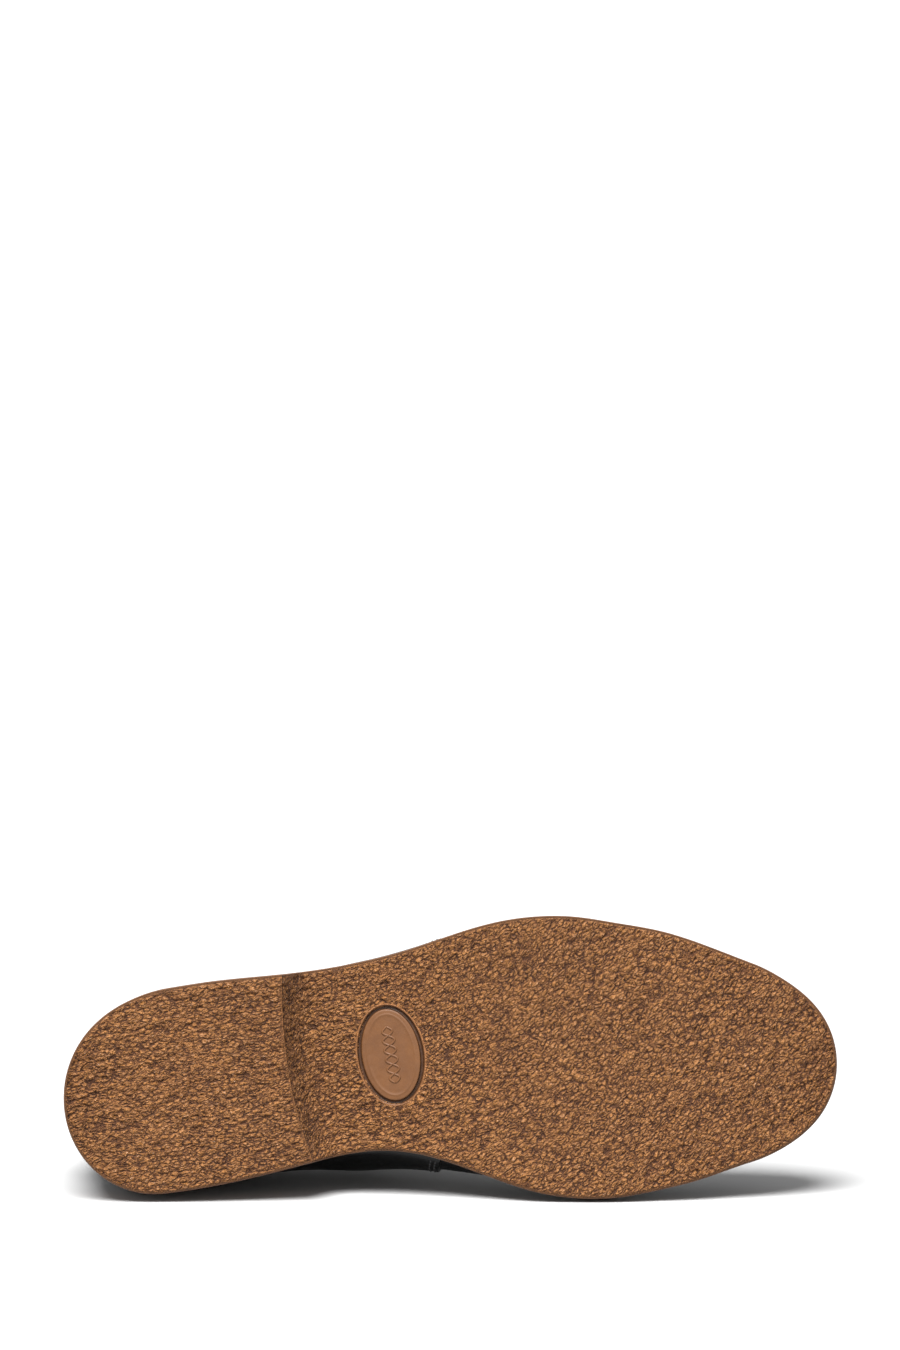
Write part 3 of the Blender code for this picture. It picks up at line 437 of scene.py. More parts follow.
def throat_share(side, ring):
    """The share of a vamp rib up to the edge of the throat, if the throat went on there."""
    return share_at_length(vamp_rib(side, ring), FACING_GAP / 2, True)


THROAT_SHARE = {side: throat_share(side, SEAM_RING) for side in SIDES}


def quarter_controls(side):
    """Control points for the quarter's ribs. The last rib lies on the vamp's first, up to the facing."""
    rows = []
    for row, ring in enumerate(QUARTER_RIBS["ring"]):
        _, outward = foot_of_rib(side, ring)
        x = QUARTER_RIBS["top_at"][row] * SOLE_LENGTH
        y = (QUARTER_RIBS["top_centre"][row] + side * QUARTER_RIBS["top_half"][row]) * BALL_WIDTH
        top = np.array([x, y, float(seat_height(x) + QUARTER_RIBS["top_height"][row] * UPPER_HEIGHT)])
        lean = math.radians(QUARTER_RIBS["lean_top"][row])
        way = -math.cos(lean) * UP + math.sin(lean) * outward
        rows.append(rib_controls(side, QUARTER_RIBS, row, top, way))
    rows.append(split_curve(vamp_rib(side, SEAM_RING), THROAT_SHARE[side])[1:])
    rings = np.append(QUARTER_RIBS["ring"], SEAM_RING)
    return natural_spline(rings, np.array(rows).reshape(len(rows), 9))


QUARTER = {side: quarter_controls(side) for side in SIDES}


def quarter_rib(side, ring):
    foot, _ = foot_of_rib(side, ring)
    return np.vstack([foot, QUARTER[side](ring).reshape(3, 3)])


# The share of the toe's rib at which its last rows start
TOE_SPLIT = 0.86


def rib_grid(rows, closed_rows):
    """The base surface as ribs round the shoe, medial from heel to toe and then lateral back to the heel.

    Every rib has rows steps up to the facing's level; the vamp's ribs go on from there to the ridge.
    """
    quarter_rings, vamp_rings = upper_rings()
    shares = np.linspace(0, 1, rows + 1)
    ribs = []
    for side in SIDES:
        one_side = [(ring, curve_at(quarter_rib(side, ring), shares)) for ring in quarter_rings]
        for ring in vamp_rings:
            fading = smooth_step(SEAM_RING, 1, ring)
            split = THROAT_SHARE[side] + (TOE_SPLIT - THROAT_SHARE[side]) * fading
            split = min(split, max(throat_share(side, ring), THROAT_SHARE[side]))
            closed = np.concatenate([shares * split, np.linspace(split, 1, closed_rows + 1)[1:]])
            one_side.append((ring, curve_at(vamp_rib(side, ring), closed)))
        ribs.append(one_side)
    medial, lateral = ribs
    return medial + lateral[-2:0:-1]


def grid_normals(ribs, rows):
    """Outward unit normals of the base surface at every point of its ribs."""
    count = len(ribs)
    toe = count // 2
    normals = []
    for index, (_, points) in enumerate(ribs):
        before, after = ribs[index - 1][1], ribs[(index + 1) % count][1]
        last = len(points) - 1
        found = []
        for row in range(last + 1):
            ahead = after[row] if row < len(after) else points[row]
            behind = before[row] if row < len(before) else points[row]
            mirrored = ribs[(2 * toe - index) % count][1]
            above = points[row + 1] if row < last else mirrored[last - 1] if last > rows else points[row]
            below = points[row - 1] if row > 0 else points[row]
            found.append(np.cross(ahead - behind, above - below))
        if index == toe:
            found[last] = normals[-1][-1]
        normals.append(unit(found))
    return normals


# Instep: the surface under the laces, from facing to facing, which the tongue and the laces follow


# How strongly the surface between the facings follows them, as a share of the gap
BRIDGE_PULL = 0.36


def instep_section(ring, reach, count):
    """Points across the closed instep at one rib, evenly along its arc, out to reach on both sides."""
    bridged = ring <= SEAM_RING
    find_rib, gap, steps = (quarter_rib, 0, 40) if bridged else (vamp_rib, FACING_GAP / 2, 60)
    halves = []
    for side in SIDES:
        rib = find_rib(side, ring)
        low = share_at_length(rib, reach + gap, True)
        halves.append(curve_at(rib, np.linspace(low, 1, steps)))
    medial, lateral = halves[0], halves[1][::-1]
    if bridged:
        start, end = medial[-1], lateral[0]
        span = np.linalg.norm(end - start)
        leave = unit(start - medial[-3]) * span * BRIDGE_PULL
        arrive = unit(end - lateral[2]) * span * BRIDGE_PULL
        bridge = curve_at([start, start + leave, end + arrive, end], np.linspace(0, 1, 31)[1:-1])
        path = np.vstack([medial, bridge, lateral])
    else:
        path = np.vstack([medial, lateral[1:]])
    run = run_along(path)
    return read_off(run[-1] / 2 + np.linspace(-reach, reach, count), run, path)


def surface_normals(grid):
    """Upward unit normals of a grid of points [along, across]."""
    along = np.gradient(grid, axis=0)
    across = np.gradient(grid, axis=1)
    found = unit(np.cross(across, along))
    return found * np.sign(found[:, :, 2:].mean())


TOP_RING = 0.388
INSTEP_RINGS = np.linspace(TOP_RING, SEAM_RING, 25)
INSTEP_REACH = 0.030
INSTEP_COLUMNS = 61
INSTEP = np.array([instep_section(ring, INSTEP_REACH, INSTEP_COLUMNS) for ring in INSTEP_RINGS])
INSTEP_UP = surface_normals(INSTEP)


def on_instep(ring, across, height):
    """A point over the closed instep at a ring, a way across (metres of arc, medial above 0) and a height."""
    row = np.interp(ring, INSTEP_RINGS, np.arange(len(INSTEP_RINGS)))
    column = (INSTEP_REACH - across) / (2 * INSTEP_REACH) * (INSTEP_COLUMNS - 1)
    low_row, low_column = min(int(row), len(INSTEP_RINGS) - 2), min(int(column), INSTEP_COLUMNS - 2)
    u, v = row - low_row, column - low_column

    def blend(grid):
        near = grid[low_row, low_column] * (1 - v) + grid[low_row, low_column + 1] * v
        far = grid[low_row + 1, low_column] * (1 - v) + grid[low_row + 1, low_column + 1] * v
        return near * (1 - u) + far * u

    up = unit(blend(INSTEP_UP))
    return blend(INSTEP) + up * height, up


def eyelet_rings():
    """Ring of each eyelet row, the first nearest to the toe, spaced along the instep's ridge."""
    run = run_along(INSTEP[::-1, INSTEP_COLUMNS // 2])
    places = FIRST_EYELET + EYELET_PITCH * np.arange(EYELET_ROWS)
    return np.interp(places, run, INSTEP_RINGS[::-1])


EYELET_ACROSS = FACING_GAP / 2 + EYELET_INSET
EYELET_RINGS = eyelet_rings()


def eyelet_places():
    """Every eyelet's name, its centre on the facing's outer surface and its axis."""
    for row, ring in enumerate(EYELET_RINGS):
        for side, word in ((MEDIAL, "medial"), (LATERAL, "lateral")):
            centre, axis = on_instep(ring, side * EYELET_ACROSS, QUARTER_STEP)
            yield f"eyelet_{word}_{row + 1}", centre, axis


# The shoe's place in the world

HEEL_TREAD_AT = (0.042, 0.0135, 0.0)
FOREFOOT_TREAD_AT = (0.200, 0.0, 0.0)


def basis(along, up):
    """An orthonormal basis, as rows, from a direction and the normal of the plane that it lies in."""
    up = unit(up)
    along = unit(np.asarray(along, float) - np.dot(along, up) * up)
    return np.array([along, np.cross(up, along), up])


def lying_frame():
    """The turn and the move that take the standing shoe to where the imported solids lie."""
    mounts = {mount["name"]: mount for mount in frame["record"]["mounts"]}
    heel, fore = (np.array(mounts[name]["pos_m"], float) for name in ("heel_tread", "forefoot_tread"))
    standing = basis(np.subtract(FOREFOOT_TREAD_AT, HEEL_TREAD_AT), UP)
    lying = basis(fore - heel, -np.array(mounts["heel_tread"]["axis"], float))
    turn = lying.T @ standing
    return turn, heel - turn @ np.array(HEEL_TREAD_AT)


TURN, MOVE = lying_frame()


def lay_down(points):
    """World places of points on the standing shoe."""
    return np.asarray(points, float) @ TURN.T + MOVE


# Meshes


def strip_faces(first, second, closed=False):
    """Quads between two equal rows of vertex numbers."""
    first, second = np.asarray(first), np.asarray(second)
    if closed:
        first, second = np.append(first, first[0]), np.append(second, second[0])
    return np.stack([first[:-1], first[1:], second[1:], second[:-1]], axis=1)


def strips(rows):
    """Quads between each closed row of vertex numbers and the next."""
    return [face for pair in zip(rows, rows[1:]) for face in strip_faces(*pair, True).tolist()]


def circle(count):
    """Equal angles round a circle."""
    return np.linspace(0, 2 * math.pi, count + 1)[:-1]


def tube(path, across, other, reach, around):
    """Points and faces of a closed tube round a path. Its radius, reach, may differ by point and angle."""
    turns = circle(around)[None, :, None]
    ways = np.cos(turns) * across[:, None] + np.sin(turns) * other[:, None]
    points = path[:, None] + reach[..., None] * ways
    numbers = np.arange(len(path) * around).reshape(len(path), around)
    return points.reshape(-1, 3), strips(numbers) + [numbers[0].tolist(), numbers[-1].tolist()]


def joined(parts):
    """The points and faces of several parts as one."""
    points, faces = [], []
    for placed, made in parts:
        offset = sum(len(group) for group in points)
        faces += [[corner + offset for corner in face] for face in made]
        points.append(placed)
    return np.vstack(points), faces


def new_piece(name, points, faces, materials, slot, replaces=(), face_materials=None, values=None, sharp=40):
    """A piece of the lying shoe from standing points, riding on its only body."""
    mesh = bpy.data.meshes.new(name)
    mesh.from_pydata(lay_down(points).tolist(), [], [[int(corner) for corner in face] for face in faces])
    for key, value in (values or {}).items():
        value = np.asarray(value, np.float32)
        kind, field = ("FLOAT", "value") if value.ndim == 1 else ("FLOAT_VECTOR", "vector")
        mesh.attributes.new(key, kind, "POINT").data.foreach_set(field, value.ravel())
    for material in materials:
        mesh.materials.append(material)
    if face_materials is not None:
        mesh.polygons.foreach_set("material_index", np.asarray(face_materials, np.int32))
    made = bmesh.new()
    made.from_mesh(mesh)
    bmesh.ops.remove_doubles(made, verts=made.verts, dist=1e-6)
    bmesh.ops.dissolve_degenerate(made, edges=made.edges, dist=1e-7)
    bmesh.ops.recalc_face_normals(made, faces=made.faces)
    made.to_mesh(mesh)
    made.free()
    mesh.shade_smooth()
    mesh.set_sharp_from_angle(angle=math.radians(sharp))
    shown = bpy.data.objects.new(name, mesh)
    bpy.context.scene.collection.objects.link(shown)
    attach(shown, "root")
    if replaces:
        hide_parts(*replaces)
    return shown


def rung_solid(layers):
    """Points and faces of a closed solid through layers of rungs. The first layer's faces come first."""
    starts = np.cumsum([0] + [layer[0].size for layer in layers])
    points = np.vstack([np.stack(layer, axis=-1).reshape(-1, 3) for layer in layers])

    def numbers(layer, column):
        rungs, columns = layers[layer][0].shape
        return starts[layer] + np.arange(rungs) * columns + column % columns

    faces = []
    for layer in (0, len(layers) - 1):
        for column in range(layers[layer][0].shape[1] - 1):
            faces.append(strip_faces(numbers(layer, column), numbers(layer, column + 1)))
    for layer in range(len(layers) - 1):
        for column in (0, -1):
            faces.append(strip_faces(numbers(layer, column), numbers(layer + 1, column)))
    return points, np.vstack(faces)


# Materials


class Looks:
    """A material's node tree: a Principled shader with procedural colour, roughness and bump."""

    def __init__(self, name, roughness, specular=0.5, metallic=0.0, coat=0.0, coat_roughness=0.2, sheen=0.0):
        self.material = bpy.data.materials.new(name)
        self.material.use_nodes = True
        self.tree = self.material.node_tree
        self.shader = self.tree.nodes["Principled BSDF"]
        constants = {
            "Roughness": roughness,
            "Specular IOR Level": specular,
            "Metallic": metallic,
            "Coat Weight": coat,
            "Coat Roughness": coat_roughness,
            "Sheen Weight": sheen,
        }
        for key, value in constants.items():
            self.shader.inputs[key].default_value = value
        self.bump = None

    def node(self, kind, inputs=None, **settings):
        made = self.tree.nodes.new(kind)
        for key, value in settings.items():
            setattr(made, key, value)
        for key, value in (inputs or {}).items():
            if isinstance(value, bpy.types.NodeSocket):
                self.tree.links.new(value, made.inputs[key])
            else:
                made.inputs[key].default_value = value
        return made

    def place(self):
        return self.node("ShaderNodeTexCoord").outputs["Object"]

    def noise(self, scale, detail=3.0, roughness=0.55, where=None, out=0):
        inputs = {"Vector": where or self.place(), "Scale": scale, "Detail": detail, "Roughness": roughness}
        return self.node("ShaderNodeTexNoise", inputs).outputs[out]

    def cells(self, scale, where=None):
        """The distance to the nearest border between irregular cells."""
        inputs = {"Vector": where or self.place(), "Scale": scale}
        return self.node("ShaderNodeTexVoronoi", inputs, feature="DISTANCE_TO_EDGE").outputs["Distance"]

    def vector(self, operation, first, second):
        return self.node("ShaderNodeVectorMath", {0: first, 1: second}, operation=operation).outputs[0]

    def warped(self, where, scale, amount):
        """Coordinates pushed about by a noise."""
        push = self.noise(scale, 2, 0.5, where, 1)
        push = self.vector("SUBTRACT", push, (0.5, 0.5, 0.5))
        return self.vector("ADD", where, self.vector("MULTIPLY", push, (amount, amount, amount)))

    def math(self, operation, first, second):
        return self.node("ShaderNodeMath", {0: first, 1: second}, operation=operation).outputs[0]

    def blend_of(self, *parts):
        """The sum of (socket, share) parts."""
        total = 0
        for socket, share in parts:
            total = self.math("ADD", total, self.math("MULTIPLY", socket, share))
        return total

    def rise(self, value, low, high, bottom=0.0, top=1.0):
        """A smooth rise from bottom to top as the value goes from low to high."""
        inputs = {"Value": value, 1: low, 2: high, 3: bottom, 4: top}
        return self.node("ShaderNodeMapRange", inputs, interpolation_type="SMOOTHSTEP").outputs[0]

    def value(self, name, out="Fac"):
        """A value kept on the mesh's points."""
        return self.node("ShaderNodeAttribute", attribute_name=name).outputs[out]

    def ramp(self, source, stops):
        """A colour ramp over (place, colour) stops; a colour may be one number."""
        made = self.node("ShaderNodeValToRGB", {"Fac": source})
        elements = made.color_ramp.elements
        while len(elements) < len(stops):
            elements.new(0.5)
        for element, (place, colour) in zip(elements, stops):
            element.position = place
            colour = (colour,) * 3 if isinstance(colour, (int, float)) else colour
            element.color = (*colour, 1)
        return made.outputs[0]

    def mix(self, share, first, second, blend="MIX"):
        made = self.node("ShaderNodeMix", data_type="RGBA", blend_type=blend)
        for key, value in ((0, share), (6, first), (7, second)):
            if isinstance(value, bpy.types.NodeSocket):
                self.tree.links.new(value, made.inputs[key])
            elif key == 0:
                made.inputs[key].default_value = value
            else:
                made.inputs[key].default_value = (*value, 1)
        return made.outputs[2]

    def colour(self, socket):
        self.tree.links.new(socket, self.shader.inputs["Base Color"])

    def roughness(self, socket):
        self.tree.links.new(socket, self.shader.inputs["Roughness"])

    def relief(self, height, distance, strength=1.0):
        """Adds a bump; the last one added lies on top of the others."""
        inputs = {"Height": height, "Distance": distance, "Strength": strength}
        if self.bump:
            inputs["Normal"] = self.bump
        self.bump = self.node("ShaderNodeBump", inputs).outputs[0]
        self.tree.links.new(self.bump, self.shader.inputs["Normal"])


def linear(red, green, blue):
    """A colour in linear light from its 8-bit display values."""
    shares = np.array([red, green, blue]) / 255
    found = np.where(shares > 0.04045, ((shares + 0.055) / 1.055) ** 2.4, shares / 12.92)
    return tuple(float(share) for share in found)


def crepe_looks():
    """Crepe rubber: wrinkled, crumbly lumps, with painted shade that darkens the cracks between them and the
    low places of the relief, and small glints on their tops where the roughness is lower.
    """
    looks = Looks("crepe_rubber", 0.42, specular=0.3)
    where = looks.warped(looks.value("grain", "Vector"), 380, 0.0014)
    where = looks.warped(where, 1500, 0.0005)
    where = looks.node("ShaderNodeMapping", {"Vector": where, "Scale": (0.58, 1, 1)}).outputs[0]
    cracks = looks.rise(looks.cells(640, where), 0.0, 0.30)
    fine = looks.rise(looks.cells(1250, where), 0.0, 0.38)
    crumb = looks.noise(620, 2, 0.5, where)
    height = looks.blend_of((cracks, 0.32), (fine, 0.18), (crumb, 0.90))
    # Painted shade: the colour darkens towards the cracks and the low places of the mesh's relief
    painted_crack_shade = looks.blend_of((cracks, 0.32), (fine, 0.18), (crumb, 0.40), (looks.value("relief"), 0.28))
    # Browns from the painted shade in the cracks at the dark end to the lumps' tops at the light end
    shaded_browns = [
        (0.38, linear(66, 36, 14)),
        (0.50, linear(108, 67, 32)),
        (0.60, linear(140, 94, 51)),
        (0.84, linear(146, 99, 55)),
        (1.0, linear(154, 107, 63)),
    ]
    faded = [(0.3, linear(238, 234, 230)), (0.72, linear(255, 255, 255))]
    toned_and_shaded = looks.mix(1.0, looks.ramp(painted_crack_shade, shaded_browns), looks.ramp(looks.noise(38, 4, 0.6), faded), "MULTIPLY")
    looks.colour(looks.mix(looks.value("rim"), toned_and_shaded, linear(126, 82, 45)))
    looks.roughness(looks.ramp(painted_crack_shade, [(0.55, 0.8), (0.82, 0.28)]))
    calm_rim = looks.rise(looks.value("rim"), 0.0, 0.9, 1.0, 0.12)
    looks.relief(looks.math("MULTIPLY", height, calm_rim), 0.0042)
    return looks.material


def plate_looks():
    """Smooth moulded rubber, with painted shade that darkens the deep groove."""
    looks = Looks("medallion_rubber", 0.45, specular=0.3)
    plate = looks.ramp(looks.noise(150, 5, 0.65), [(0.3, linear(84, 52, 26)), (0.7, linear(95, 60, 30))])
    # Painted shade: a darker brown that fills the groove, more of it the deeper the groove lies
    groove_shade = looks.ramp(looks.noise(600, 3, 0.65), [(0.3, linear(48, 27, 12)), (0.7, linear(66, 39, 18))])
    looks.colour(looks.mix(looks.rise(looks.value("deep"), 0.02, 0.4), plate, groove_shade))
    looks.roughness(looks.ramp(looks.noise(420, 3, 0.6), [(0.3, 0.4), (0.7, 0.6)]))
    looks.relief(looks.noise(700, 4, 0.6), 0.00012, 0.6)
    return looks.material


def rubber_looks(name, dark, light):
    """Smooth moulded rubber with a faint mottle and a fine skin."""
    looks = Looks(name, 0.5, specular=0.4)
    looks.colour(looks.ramp(looks.noise(160, 5, 0.65), [(0.3, dark), (0.7, light)]))
    looks.roughness(looks.ramp(looks.noise(420, 3, 0.6), [(0.3, 0.42), (0.7, 0.62)]))
    looks.relief(looks.noise(900, 4, 0.6), 0.00012, 0.6)
    return looks.material


def leather_looks(name, dark, light, roughness, grain, coat):
    """Dyed leather with a fine cell grain, soft broader swells and an uneven polish."""
    looks = Looks(name, roughness, specular=0.24, coat=coat, coat_roughness=0.2)
    looks.colour(looks.ramp(looks.noise(70, 5, 0.6), [(0.3, dark), (0.75, light)]))
    low, high = roughness - 0.03, roughness + 0.05
    looks.roughness(looks.ramp(looks.noise(130, 4, 0.6), [(0.3, low), (0.7, high)]))
    looks.relief(looks.noise(260, 3, 0.55), 0.00012, 0.25)
    looks.relief(looks.cells(1500), 0.00012 * grain, 0.8)
    return looks.material


def cloth_looks(name, dark, light, roughness):
    """Waxed thread or cord."""
    looks = Looks(name, roughness, specular=0.35, sheen=0.15)
    looks.colour(looks.ramp(looks.noise(1800, 3, 0.6), [(0.3, dark), (0.7, light)]))
    looks.relief(looks.noise(3200, 2, 0.5), 0.0001, 0.7)
    return looks.material


def metal_looks():
    """Black enamel with an uneven, slightly worn lustre."""
    looks = Looks("black_eyelet_metal", 0.28, specular=0.5, metallic=0.85, coat=0.3)
    worn = [(0.35, linear(30, 30, 32)), (0.75, linear(66, 64, 62))]
    looks.colour(looks.ramp(looks.noise(900, 4, 0.6), worn))
    looks.roughness(looks.ramp(looks.noise(1200, 3, 0.6), [(0.3, 0.2), (0.7, 0.42)]))
    return looks.material


CREPE = crepe_looks()
SOLE_SIDE = rubber_looks("sole_side_rubber", linear(78, 50, 28), linear(97, 64, 38))
WELT_RUBBER = rubber_looks("welt_rubber", linear(50, 32, 20), linear(68, 45, 28))
PLATE_RUBBER = plate_looks()
BLACK_LEATHER = leather_looks("black_leather", linear(6, 6, 6), linear(12, 12, 12), 0.37, 1.2, 0.05)
TONGUE_LEATHER = leather_looks("tongue_leather", linear(9, 9, 9), linear(17, 16, 16), 0.42, 1.3, 0.04)
LINING = leather_looks("lining_leather", linear(150, 112, 74), linear(182, 142, 98), 0.62, 1.2, 0.0)
SOCK = leather_looks("sock_leather", linear(126, 90, 58), linear(160, 120, 80), 0.58, 1.4, 0.0)
LACE_CORD = cloth_looks("waxed_black_cord", linear(16, 16, 17), linear(38, 38, 40), 0.55)
BLACK_THREAD = cloth_looks("black_thread", linear(22, 22, 23), linear(46, 46, 48), 0.5)
WELT_THREAD = cloth_looks("brown_thread", linear(88, 62, 40), linear(130, 98, 66), 0.6)
ENAMEL = metal_looks()


# Crepe tread


LATTICE = 256


def lattice_noise(u, v, seed):
    """Smooth random values from -1 to 1 over a plane whose bumps are about one unit wide."""
    values = np.random.default_rng(seed).uniform(-1, 1, (LATTICE, LATTICE))
    cell_u, cell_v = np.floor(u).astype(int), np.floor(v).astype(int)
    share_u, share_v = smooth_step(0, 1, u - cell_u), smooth_step(0, 1, v - cell_v)
    columns, after = cell_v % LATTICE, (cell_v + 1) % LATTICE
    low, high = (
        values[rows, columns] * (1 - share_v) + values[rows, after] * share_v
        for rows in (cell_u % LATTICE, (cell_u + 1) % LATTICE)
    )
    return low * (1 - share_u) + high * share_u


def lump_noise(u, v, seed):
    """0 on the cracks between irregular lumps about one unit wide, rising towards their middles."""
    spots = np.random.default_rng(seed).uniform(0.08, 0.92, (LATTICE, LATTICE, 2))
    base_u, base_v = np.floor(u).astype(int), np.floor(v).astype(int)
    nearest, second = np.full(u.shape, np.inf), np.full(u.shape, np.inf)
    for step_u in (-1, 0, 1):
        for step_v in (-1, 0, 1):
            cell_u, cell_v = base_u + step_u, base_v + step_v
            spot = spots[cell_u % LATTICE, cell_v % LATTICE]
            distance = np.hypot(cell_u + spot[..., 0] - u, cell_v + spot[..., 1] - v)
            second = np.minimum(second, np.maximum(nearest, distance))
            nearest = np.minimum(nearest, distance)
    return second - nearest


# Depth of the relief, the relief that leaves the tread where it is, and the relief value of smooth places,
# which also sets how dark the crepe's painted shade is there
CREPE_DEPTH = 0.0015
LEVEL_RELIEF = 0.74
SMOOTH_RELIEF = 0.66
RIM_WIDTH = 0.0007
HEEL_SEED, FORE_SEED = 11, 51

# The grain's turn in degrees on the heel, at the waist and over the ball, and where it changes
HEEL_GRAIN, WAIST_GRAIN, BALL_GRAIN = -14.0, -27.0, -48.0
WAIST_GRAIN_AT, BALL_GRAIN_AT = 0.09, 0.21

# Fine rungs crowd towards both ends, and start again just past the heel's front edge
END_CROWDING = 1.35
EDGE_STEP = 0.00012
HOLLOW_END = BREAST_AT + 1.2 * BREAST_DEPTH
BOTH_EDGES = np.array([0.0, 1.0])

# The pocket that the medallion's plate lies in, and shares of the oval's radius round it
POCKET_DEPTH = 0.0022
POCKET_WALL = (0.955, 1.0)
POCKET_LIP = (1.035, 1.075)


def crepe_grain(along, across, x, on_heel):
    """Coordinates along and across the grain of the crepe, which turns from the heel to the forepart."""
    fore = WAIST_GRAIN + (BALL_GRAIN - WAIST_GRAIN) * smooth_step(WAIST_GRAIN_AT, BALL_GRAIN_AT, x)
    turn = np.radians(np.where(on_heel, HEEL_GRAIN, fore))
    along = along - np.where(on_heel, 0.04, 0.15)
    return along * np.cos(turn) + across * np.sin(turn), across * np.cos(turn) - along * np.sin(turn)


def crepe_relief(long_way, short_way, seed):
    """The relief of crepe rubber, 0 in its deepest cracks and 1 on its highest lumps."""
    u = long_way + 0.0013 * lattice_noise(long_way / 0.0046, short_way / 0.0036, seed)
    v = short_way + 0.0012 * lattice_noise(long_way / 0.0052, short_way / 0.0034, seed + 1)
    u = u + 0.0004 * lattice_noise(u / 0.0015, v / 0.0015, seed + 2)
    v = v + 0.0005 * lattice_noise(u / 0.0017, v / 0.0014, seed + 3)
    wrinkles = np.clip(lump_noise(u / 0.0070, v / 0.0024, seed + 4) / 0.42, 0, 1)
    lumps = np.clip(lump_noise(u / 0.0034, v / 0.0016, seed + 5) / 0.42, 0, 1)
    folds = lattice_noise(u / 0.0052, v / 0.0019, seed + 6)
    return np.clip(0.36 * wrinkles**0.7 + 0.26 * lumps**0.8 + 0.22 * folds + 0.26, 0, 1)


def long_rungs(heel_count, breast_count, fore_count):
    """Fine rungs: close together at both round ends, and one on the heel's front edge."""
    heel = BREAST_AT * np.linspace(0, 1, heel_count) ** END_CROWDING
    breast = np.linspace(BREAST_AT + EDGE_STEP, HOLLOW_END, breast_count)
    fore = 1 - (1 - np.linspace(0, 1, fore_count)[1:]) ** END_CROWDING
    return np.concatenate([heel, breast, HOLLOW_END + (SOLE_LENGTH - HOLLOW_END) * fore])


MEDALLION_COS = math.cos(math.radians(MEDALLION_TURN))
MEDALLION_SIN = math.sin(math.radians(MEDALLION_TURN))


def medallion_radius(x, y):
    """1 on the edge of the medallion's oval, and less inside it."""
    aside = MEDALLION_COS * (x - MEDALLION_AT) - MEDALLION_SIN * (y - MEDALLION_SIDE)
    ahead = MEDALLION_SIN * (x - MEDALLION_AT) + MEDALLION_COS * (y - MEDALLION_SIDE)
    return np.hypot(aside / MEDALLION_HALF_WIDTH, ahead / MEDALLION_HALF_LENGTH)


def on_medallion(aside, ahead, depth):
    """Standing points on the sloping waist, from places on the medallion's own two axes and a depth."""
    x = MEDALLION_AT + MEDALLION_COS * aside + MEDALLION_SIN * ahead
    y = MEDALLION_SIDE - MEDALLION_SIN * aside + MEDALLION_COS * ahead
    return np.stack([x, y, slab_underside(x) + depth], axis=-1)


def tread_normals(tread):
    """Unit normals of the tread's grid, pointing out of the sole."""
    normals = np.cross(np.gradient(tread, axis=0), np.gradient(tread, axis=1))
    lengths = np.linalg.norm(normals, axis=2, keepdims=True)
    normals = np.where(lengths > 1e-12, normals / np.maximum(lengths, 1e-12), -UP)
    return normals * -np.sign(normals[..., 2:] + ON_EDGE)


def dressed_tread(places, shares):
    """The tread's points with their crepe relief, and the values that the crepe's material reads."""
    x, y = rung_points(places, shares, TREAD_RIM_INSET)
    z = tread_height(x, shares, places)
    slope = np.hypot(np.diff(x, axis=0), np.diff(z, axis=0)) - np.abs(np.diff(x, axis=0))
    run = x + np.vstack([np.zeros((1, len(shares))), np.cumsum(slope, axis=0)])
    on_heel = places[:, None] <= BREAST_AT + ON_EDGE
    along, across = crepe_grain(run, y, x, on_heel)
    relief = np.where(on_heel, crepe_relief(along, across, HEEL_SEED), crepe_relief(along, across, FORE_SEED))

    width = y[:, -1:] - y[:, :1]
    inside = np.minimum(x, SOLE_LENGTH - x) - TREAD_RIM_INSET
    inside = np.minimum(np.minimum(shares, 1 - shares) * width, inside)
    to_front = heel_edge(shares) - x
    inside = np.minimum(inside, np.where(on_heel, to_front, np.abs(to_front) + 0.0005))
    at_edge = np.where(on_heel & (to_front < 0.002), 0.0, 0.45)
    radius = medallion_radius(x, y)
    body = (at_edge + (1 - at_edge) * smooth_step(0.0, RIM_WIDTH, inside)) * smooth_step(*POCKET_LIP, radius)
    height = CREPE_DEPTH * (relief - LEVEL_RELIEF) * body
    pocket = POCKET_DEPTH * (1 - smooth_step(*POCKET_WALL, radius))

    tread = np.stack([x, y, z], axis=-1)
    tread = tread + tread_normals(tread) * (height - pocket)[..., None]
    values = {
        # The relief value also darkens the crepe's colour as painted shade in its low places
        "relief": relief * body + SMOOTH_RELIEF * (1 - body),
        "rim": (1 - smooth_step(0.2 * RIM_WIDTH, RIM_WIDTH, inside)) * (0.75 - 0.9 * at_edge),
        "grain": np.stack([along, across, np.broadcast_to(np.where(on_heel, 0.05, 0.0), x.shape)], axis=-1),
    }
    return tread, values


